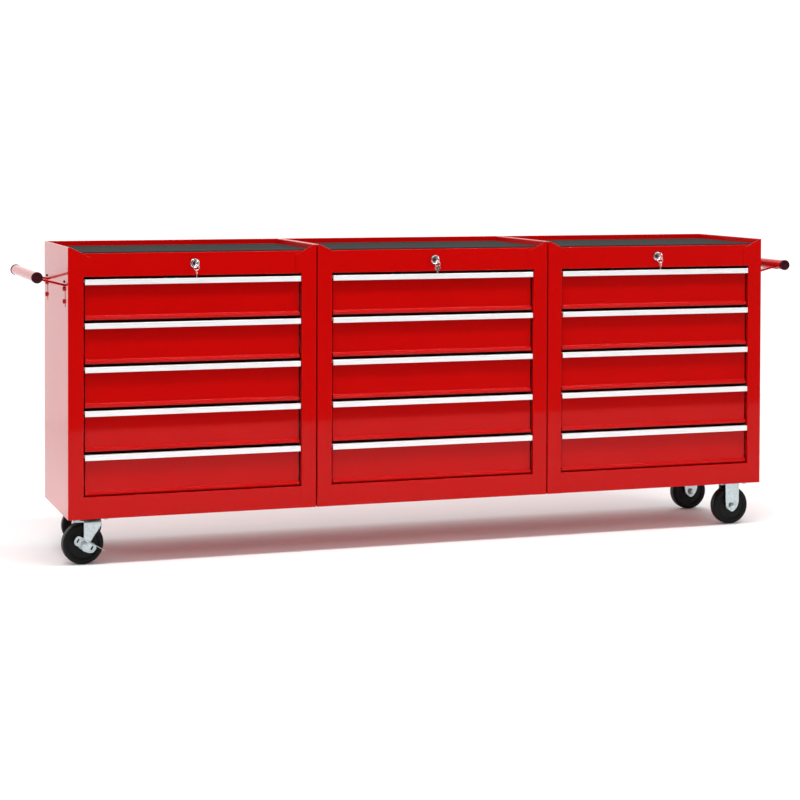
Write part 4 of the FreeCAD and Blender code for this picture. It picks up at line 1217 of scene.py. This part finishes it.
class CHEST_OT_fasteners(bpy.types.Operator):
    """Make the screws, studs and bolts that hold the chest together"""
    bl_idname = "chest.fasteners"
    bl_label = "Fasteners"

    def execute(self, context):
        self.end_fasteners(context.scene.chest_bar)
        gauge = context.scene.chest_cabinet.gauge
        self.seam_bolts(context.scene.chest_bar, gauge)
        self.castor_bolts(context.scene.chest_castor, gauge)
        return {"FINISHED"}

    def end_fasteners(self, sizes):
        """The arms' screws, the black studs above them and their nuts inside the side sheets."""
        tip, nut_end, nut_start, inside_head = -0.008, -0.006, -0.0012, 0.003
        for name, side in SIDES.items():
            screws, studs, inner = [], [], []
            for spot in screw_spots(sizes, side * END):
                screws.append(dome("x", spot, sizes.screw, side * sizes.flange_gauge, side * sizes.head))
                inner.append(shaft("x", spot, sizes.thread, side * tip, side * inside_head))
                inner.append(nut("x", spot, sizes.nut, side * nut_end, side * nut_start))
            for y in (sizes.arm_front, sizes.arm_rear):
                spot = (side * END, FRONT + y, TUBE_HEIGHT - sizes.stud)
                studs.append(dome("x", spot, sizes.thread, 0, side * sizes.thread))
                inner.append(nut("x", spot, sizes.stud_nut, -side * sizes.stud_nut, side * nut_start))
            for kind, parts, finish in (("screws_", screws, "bar_paint"), ("studs_", studs, "black_stud"),
                                        ("nuts_", inner, "zinc_plate")):
                install(smooth(tidy(join(parts))), kind + name, "chest", finish, "fasteners")

    def seam_bolts(self, sizes, gauge):
        """The bolts that join the cabinets, each with a spacer in the gap."""
        seams = []
        head, nut_height, spare = 0.004, 0.005, 0.003
        for left, right in zip(CABINETS, CABINETS[1:]):
            seam = (CENTRES[left] + CENTRES[right]) / 2
            gap = (CENTRES[right] - CENTRES[left]) / 2 - HALF
            reach = gap + gauge
            for spot in screw_spots(sizes, seam):
                seams += [shaft("x", spot, sizes.thread, -reach - head, reach + nut_height + spare),
                          nut("x", spot, sizes.nut, -reach - head, -reach),
                          nut("x", spot, sizes.nut, reach, reach + nut_height),
                          shaft("x", spot, sizes.thread * 2, -gap, gap)]
        install(smooth(join(seams)), "seam_bolts", "chest", "zinc_plate", "fasteners")

    def castor_bolts(self, sizes, gauge):
        """The bolts that hold the castors' plates, with their nuts inside the bottom pans."""
        bolts = []
        in_head, bolt_end = 0.002, 0.015
        under, over = UNDER - sizes.plate, UNDER + gauge
        for side in (-1, 1):
            for row in ROWS:
                for x, y in bolt_spots(sizes, side * CASTOR_X, row):
                    bolts += [nut("z", (x, y, 0), sizes.bolt_nut, under - sizes.bolt_head, under),
                              shaft("z", (x, y, 0), sizes.bolt, under - in_head, under + bolt_end),
                              nut("z", (x, y, 0), sizes.bolt_nut, over, over + sizes.nut_height)]
        install(smooth(join(bolts)), "castor_bolts", "chest", "zinc_plate", "fasteners")


# ---------------------------------------------------------------- castors
# Each castor is drawn with its swivel axis at X = Y = 0 and trails along -X.

def top_plate(sizes):
    """The rectangular plate with rounded corners that bolts under a cabinet."""
    piece = block((-sizes.plate_long / 2, -sizes.plate_wide / 2, UNDER - sizes.plate),
                  (sizes.plate_long / 2, sizes.plate_wide / 2, UNDER))
    round_corners(piece, sizes.corner)
    soften(piece, 0.0005, 2, 50)
    return piece


def leg_end(axle_x, half, high, low, slimming=1.0):
    """Rows of (left, right, height) that bring a leg to its rounded end below the axle."""
    rows = []
    for degrees in (12, 26, 40, 54, 68, 80, 87):  # closer together towards the tip
        angle = math.radians(degrees)
        reach = half * math.cos(angle) ** slimming
        rows.append((axle_x - reach, axle_x + reach, high - (high - low) * math.sin(angle)))
    return rows


def fork(sizes, crown, left, right, rows):
    """A crown with two legs folded down from it, each drawn row by row."""
    clear()
    bpy.ops.mesh.primitive_plane_add(size=1, location=((left + right) / 2, 0, crown))
    piece = bpy.context.object
    piece.scale = (right - left, sizes.out * 2, 1)
    bpy.ops.object.transform_apply(location=True, rotation=True, scale=True)
    for side in (-1, 1):
        pick(piece, lambda p: near(p.y, side * sizes.out) and near(p.z, crown))
        was_left, was_right, was_z = left, right, crown
        for new_left, new_right, z in rows:
            shift = (new_left + new_right - was_left - was_right) / 2
            extrude((shift, 0, z - was_z), ((new_right - new_left) / (was_right - was_left), 1, 1),
                    Vector(((new_left + new_right) / 2, side * sizes.out, z)))
            was_left, was_right, was_z = new_left, new_right, z
    round_folds(piece, 0.004, 5)
    return piece


def axle_bolt(sizes, axle_x):
    """The axle with a low domed head in front and a nut behind."""
    centre = (axle_x, 0, sizes.wheel)
    head_radius = sizes.axle + 0.003
    head_foot, head_height, nut_height, spare = 0.0046, 0.0034, 0.006, 0.002
    head = dome("y", centre, head_radius, -sizes.out - head_foot, -head_height)
    pin = shaft("y", centre, sizes.axle, -sizes.out - nut_height, sizes.out + nut_height + spare)
    end = nut("y", centre, head_radius, sizes.out, sizes.out + nut_height)
    return [tidy(head), pin, end]


class CHEST_OT_castor_frames(bpy.types.Operator):
    """Make the swivel castors' top plates and the rigid castors' frames"""
    bl_idname = "chest.castor_frames"
    bl_label = "Castor frames"

    def execute(self, context):
        sizes = context.scene.chest_castor
        under = UNDER - sizes.plate
        # the dish hangs from the plate and stops just above the turning race
        foot = CROWN_HEIGHT + 3 * SKIN
        bore, high = 0.004, under + 0.0005
        dish = smooth(turned("z", (0, 0, 0), [
            (bore, foot), (sizes.race - 0.006, foot), (sizes.race - 0.003, foot + 0.0008),
            (sizes.race + 0.002, foot + 0.0028), (sizes.race + 0.004, high), (bore, high)]))
        rivet_drop = 0.0087
        kingpin = turned("z", (0, 0, CROWN_HEIGHT - rivet_drop), [
            (0, 0), (0.005, 0.0004), (0.007, 0.0018), (0.007, 0.0028), (0.005, 0.0029),
            (0.005, 0.0145), (0, 0.0145)], 32)
        swivel = smooth(join([top_plate(sizes), kingpin]))
        crown = under + SKIN
        taper = sizes.wheel + sizes.leg_foot
        legs = fork(sizes, crown, -sizes.leg, sizes.leg,
                    [(-sizes.leg, sizes.leg, taper)]
                    + leg_end(0, sizes.leg, taper, sizes.wheel - sizes.leg_foot, 1.25))
        thicken(legs, sizes.leg_gauge)
        soften(legs, 0.0003, 2, 60)
        rigid = smooth(join([top_plate(sizes), legs] + axle_bolt(sizes, 0)))
        for row in ROWS:
            left = Matrix.Translation((-CASTOR_X, CASTOR_Y[row], 0))
            right = Matrix.Translation((CASTOR_X, CASTOR_Y[row], 0))
            for piece, place, kind, finish in ((swivel, left, "swivel_plate_", "zinc_plate"),
                                               (dish, left, "swivel_dish_", "dark_race"),
                                               (rigid, right, "rigid_castor_", "zinc_plate")):
                install(repeat(piece, place), kind + row, "chest", finish, "castor_frames")
        for piece in (swivel, dish, rigid):
            discard(piece)
        return {"FINISHED"}


def swivel_turn(row):
    """How a swivel castor stands: its wheel trails behind the swivel axis."""
    wheel = middle("wheel_left_" + row)
    return math.atan2(CASTOR_Y[row] - wheel.y, -CASTOR_X - wheel.x)


class CHEST_OT_forks(bpy.types.Operator):
    """Fold the swivel forks with their races and axles"""
    bl_idname = "chest.forks"
    bl_label = "Swivel forks"

    def execute(self, context):
        sizes = context.scene.chest_castor
        race_height, bore = 0.003, 0.0055
        crown = CROWN_HEIGHT - race_height
        half = sizes.swivel_leg
        knee = (-half, 0.0017, sizes.wheel + 0.016)
        piece = fork(sizes, crown, -half, half, [(-half, half, crown - 0.012), knee]
                     + leg_end(-sizes.trail, sizes.tip, sizes.wheel + 0.002, sizes.wheel - sizes.tip))
        # a tongue runs back over the wheel and turns down
        pick(piece, lambda p: near(p.x, -half) and near(p.z, crown))
        run, turn, drop = 0.022, 0.003, 0.007
        extrude((-run, 0, 0), (1, 0.5, 1), Vector((-half - run, 0, crown)))
        extrude((-turn, 0, -drop), (1, 0.12, 1), Vector((-half - run - turn, 0, crown - drop)))
        thicken(piece, sizes.leg_gauge)
        soften(piece, 0.0003, 2, 60)
        body = smooth(join([piece] + axle_bolt(sizes, -sizes.trail)))
        race = smooth(turned("z", (0, 0, crown), [
            (bore, 0), (sizes.race, 0), (sizes.race, 0.0012), (sizes.race - 0.0006, 0.0024),
            (sizes.race - 0.002, race_height), (bore, race_height), (bore, 0)]))
        for row in ROWS:
            place = turn_about((-CASTOR_X, CASTOR_Y[row], 0), swivel_turn(row))
            install(repeat(body, place), "fork_" + row, "swivel_" + row, "zinc_plate",
                    "swivel_fork_" + row)
            install(repeat(race, place), "race_" + row, "swivel_" + row, "dark_race")
        discard(body)
        discard(race)
        return {"FINISHED"}


class CHEST_OT_brakes(bpy.types.Operator):
    """Stamp the brake levers with their dished plates, slots and pedals"""
    bl_idname = "chest.brakes"
    bl_label = "Brake levers"

    def execute(self, context):
        sizes = context.scene.chest_castor
        near_face = -sizes.out - 0.0004
        gauge, dish, stand_off = 0.0013, 0.0011, 0.0018
        corners = [(-0.027, -0.005), (-0.027, 0.007), (-0.022, 0.012), (0.024, 0.012), (0.031, 0.004),
                   (0.029, -0.007), (0.020, -0.013), (0.005, -0.015), (-0.010, -0.011), (-0.021, -0.011)]
        piece = stamped(AXES["x"], AXES["z"], corners, 0.0028, 4)
        pick(piece, lambda p: True, "FACE")
        bpy.ops.mesh.inset(thickness=0.0026, depth=0)
        bpy.ops.mesh.inset(thickness=0.0010, depth=0)
        bpy.ops.transform.translate(value=(0, dish, 0))
        modify(piece, "SOLIDIFY", thickness=gauge, offset=0)
        tidy(piece)
        slot = Vector((0.0022, 0.004, 0.0052))
        middles = (Vector((-0.0185, 0, 0.0005)), Vector((0.0205, 0, 0.0008)))
        cutter = join([block(spot - slot, spot + slot) for spot in middles])
        soften(cutter, 0.0016, 3, 50)
        modify(piece, "BOOLEAN", object=cutter, operation="DIFFERENCE", solver="EXACT")
        discard(cutter)
        soften(piece, 0.0002, 2, 50)
        put(piece, Matrix.Translation((0, near_face - stand_off, 0)))
        half = 0.0012
        boss = washer("y", (0, near_face - half, 0), sizes.axle + 2 * SKIN, 0.0095, half)
        pedal = strip("y", near_face - 0.0176, near_face - 0.0006, [
            (0.047, 0.0096, 0), (0.040, 0.0108, 0.003), (0.010, 0.0115, 0)])
        thicken(pedal, 0.0016)
        soften(pedal, 0.0005, 2, 50)
        lever = smooth(join([piece, tidy(boss), tidy(pedal)]))
        for row in ROWS:
            place = turn_about(middle("wheel_left_" + row), swivel_turn(row))
            tilted = place @ Matrix.Rotation(sizes.tilt, 4, "Y")
            install(repeat(lever, tilted), "brake_" + row + "_lever", "brake_" + row, "zinc_plate",
                    "brake_lever_" + row)
        discard(lever)
        return {"FINISHED"}


class CHEST_OT_wheels(bpy.types.Operator):
    """Turn the solid rubber wheels on their zinc hubs"""
    bl_idname = "chest.wheels"
    bl_label = "Wheels"

    def execute(self, context):
        sizes = context.scene.chest_castor
        radius, half = sizes.wheel, sizes.tread / 2
        outline = [(sizes.hub - 0.001, half - 0.0030), (radius * 0.70, half - 0.0030),
                   (radius * 0.755, half - 0.0004), (radius * 0.80, half), (radius * 0.835, half),
                   (radius * 0.845, half - 0.0008), (radius * 0.855, half - 0.0001)]
        shoulder = 0.0065
        for degrees in range(10, 91, 16):
            angle = math.radians(degrees)
            outline.append((radius - shoulder * (1 - math.sin(angle)),
                            half - shoulder * (1 - 0.98 * math.cos(angle))))
        outline += [(r, -y) for r, y in reversed(outline)]
        outline.append(outline[0])
        tyre = smooth(turned("y", (0, 0, 0), outline, 72))
        end = sizes.hub_width / 2
        bore = sizes.axle + SKIN
        flank = [(sizes.hub, half - 0.0022), (sizes.hub * 0.7, end - 0.0006), (sizes.hub * 0.62, end),
                 (bore, end)]
        hub = smooth(turned("y", (0, 0, 0), [(r, -y) for r, y in reversed(flank)] + flank
                            + [(bore, -end)]))
        for name in SIDES:
            for row in ROWS:
                wheel = "wheel_%s_%s" % (name, row)
                turn = swivel_turn(row) if name == "left" else 0
                place = turn_about(middle(wheel), turn)
                install(repeat(tyre, place), "tyre_%s_%s" % (name, row), wheel, "tyre_rubber", wheel)
                install(repeat(hub, place), "hub_%s_%s" % (name, row), wheel, "zinc_plate")
        discard(tyre)
        discard(hub)
        return {"FINISHED"}


# ---------------------------------------------------------------- carried parts and stage

class CHEST_OT_carried(bpy.types.Operator):
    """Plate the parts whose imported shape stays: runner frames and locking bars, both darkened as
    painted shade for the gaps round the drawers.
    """
    bl_idname = "chest.carried"
    bl_label = "Runner frames and locking bars"

    def execute(self, context):
        # the runner frames are darkened as painted shade for the gaps beside the drawers
        finishes = {"runner_frames": "runner_steel"}
        # the locking bars are blackened: painted shade seen through the gaps above the pulls
        finishes.update({"lock_bar_" + cabinet: "black_stud" for cabinet in CABINETS})
        for name, finish in finishes.items():
            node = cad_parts[name]
            node.data.materials.clear()
            node.data.materials.append(FINISHES[finish]())
        return {"FINISHED"}


def softbox(name, place, aim, size, power):
    """A rectangular lamp turned towards its aim."""
    clear()
    bpy.ops.object.light_add(type="AREA", location=place)
    lamp = bpy.context.object
    lamp.name = name
    lamp.data.shape = "RECTANGLE"
    lamp.data.size, lamp.data.size_y = size
    lamp.data.energy = power
    lamp.rotation_euler = (Vector(aim) - Vector(place)).to_track_quat("-Z", "Y").to_euler()


class CHEST_OT_stage(bpy.types.Operator):
    """Lay the pale floor, hang the soft lights and set up the camera"""
    bl_idname = "chest.stage"
    bl_label = "Stage and camera"

    def execute(self, context):
        sizes = context.scene.chest_stage
        clear()
        bpy.ops.mesh.primitive_plane_add(size=sizes.floor_size)
        floor = bpy.context.object
        floor.name = "floor"
        floor.data.materials.append(FINISHES["studio_floor"]())

        world = bpy.data.worlds.new("studio")
        context.scene.world = world
        world.use_nodes = True
        nodes, links = world.node_tree.nodes, world.node_tree.links
        direction = nodes.new("ShaderNodeTexCoord")
        parts = nodes.new("ShaderNodeSeparateXYZ")
        links.new(direction.outputs["Generated"], parts.inputs["Vector"])
        # the studio is dark in front of the chest and light behind it, and plain white when looked at
        light = spread_out(world.node_tree, parts.outputs["Y"], (-0.95, 0.0), (0.06, 1.15))
        sight = nodes.new("ShaderNodeLightPath")
        strength = nodes.new("ShaderNodeMath")
        strength.operation = "MAXIMUM"
        links.new(light, strength.inputs[0])
        links.new(sight.outputs["Is Camera Ray"], strength.inputs[1])
        links.new(strength.outputs["Value"], nodes["Background"].inputs["Strength"])
        nodes["Background"].inputs["Color"].default_value = (1, 1, 1, 1)

        top, front = (0, 0, 0.5), (0, 0, 0.4)
        softbox("overhead", (0, -1.2, 3.4), top, (4.5, 0.45), 115)
        softbox("key", (-2.5, -4.0, 3.6), front, (2.5, 2.0), 40)
        softbox("fill", (3.5, -3.5, 2.0), front, (2.5, 2.5), 18)

        clear()
        bpy.ops.object.camera_add(location=sizes.eye)
        camera = bpy.context.object
        camera.name = "view"
        camera.data.lens = sizes.lens
        camera.data.sensor_width = 36
        camera.data.shift_y = sizes.rise
        camera.data.clip_end = 200
        camera.matrix_world = (
            Matrix.Translation(sizes.eye)
            @ Matrix.Rotation(-sizes.yaw, 4, "Z")
            @ Matrix.Rotation(math.pi / 2 + sizes.pitch, 4, "X")
            @ Matrix.Rotation(sizes.roll, 4, "Z"))
        context.scene.camera = camera
        context.scene.view_settings.view_transform = "Standard"
        return {"FINISHED"}


OPERATORS = (
    CHEST_OT_stage, CHEST_OT_shells, CHEST_OT_trays, CHEST_OT_pans, CHEST_OT_mats, CHEST_OT_drawers,
    CHEST_OT_slides, CHEST_OT_pulls, CHEST_OT_locks, CHEST_OT_keys, CHEST_OT_bars, CHEST_OT_arms,
    CHEST_OT_fasteners, CHEST_OT_castor_frames, CHEST_OT_forks, CHEST_OT_brakes, CHEST_OT_wheels,
    CHEST_OT_carried)


class CHEST_PT_panel(bpy.types.Panel):
    """Lists the chest's sizes, colours and pieces"""
    bl_idname = "CHEST_PT_panel"
    bl_label = "Rolling Tool Chest"
    bl_space_type = "VIEW_3D"
    bl_region_type = "UI"
    bl_category = "Tool Chest"

    def draw(self, context):
        for operator in OPERATORS:
            self.layout.operator(operator.bl_idname)
        for name in SIZE_GROUPS:
            group = getattr(context.scene, name)
            box = self.layout.box()
            for prop in group.bl_rna.properties:
                if prop.identifier not in ("rna_type", "name"):
                    box.prop(group, prop.identifier)


def register():
    for group in SIZE_GROUPS.values():
        bpy.utils.register_class(group)
    for name, group in SIZE_GROUPS.items():
        setattr(bpy.types.Scene, name, PointerProperty(type=group))
    for operator in OPERATORS:
        bpy.utils.register_class(operator)
    bpy.utils.register_class(CHEST_PT_panel)


def unregister():
    bpy.utils.unregister_class(CHEST_PT_panel)
    for operator in reversed(OPERATORS):
        bpy.utils.unregister_class(operator)
    for name, group in SIZE_GROUPS.items():
        delattr(bpy.types.Scene, name)
        bpy.utils.unregister_class(group)


def main():
    register()
    for operator in OPERATORS:
        group, name = operator.bl_idname.split(".")
        getattr(getattr(bpy.ops, group), name)()
    clear()


if __name__ == "__main__":
    main()
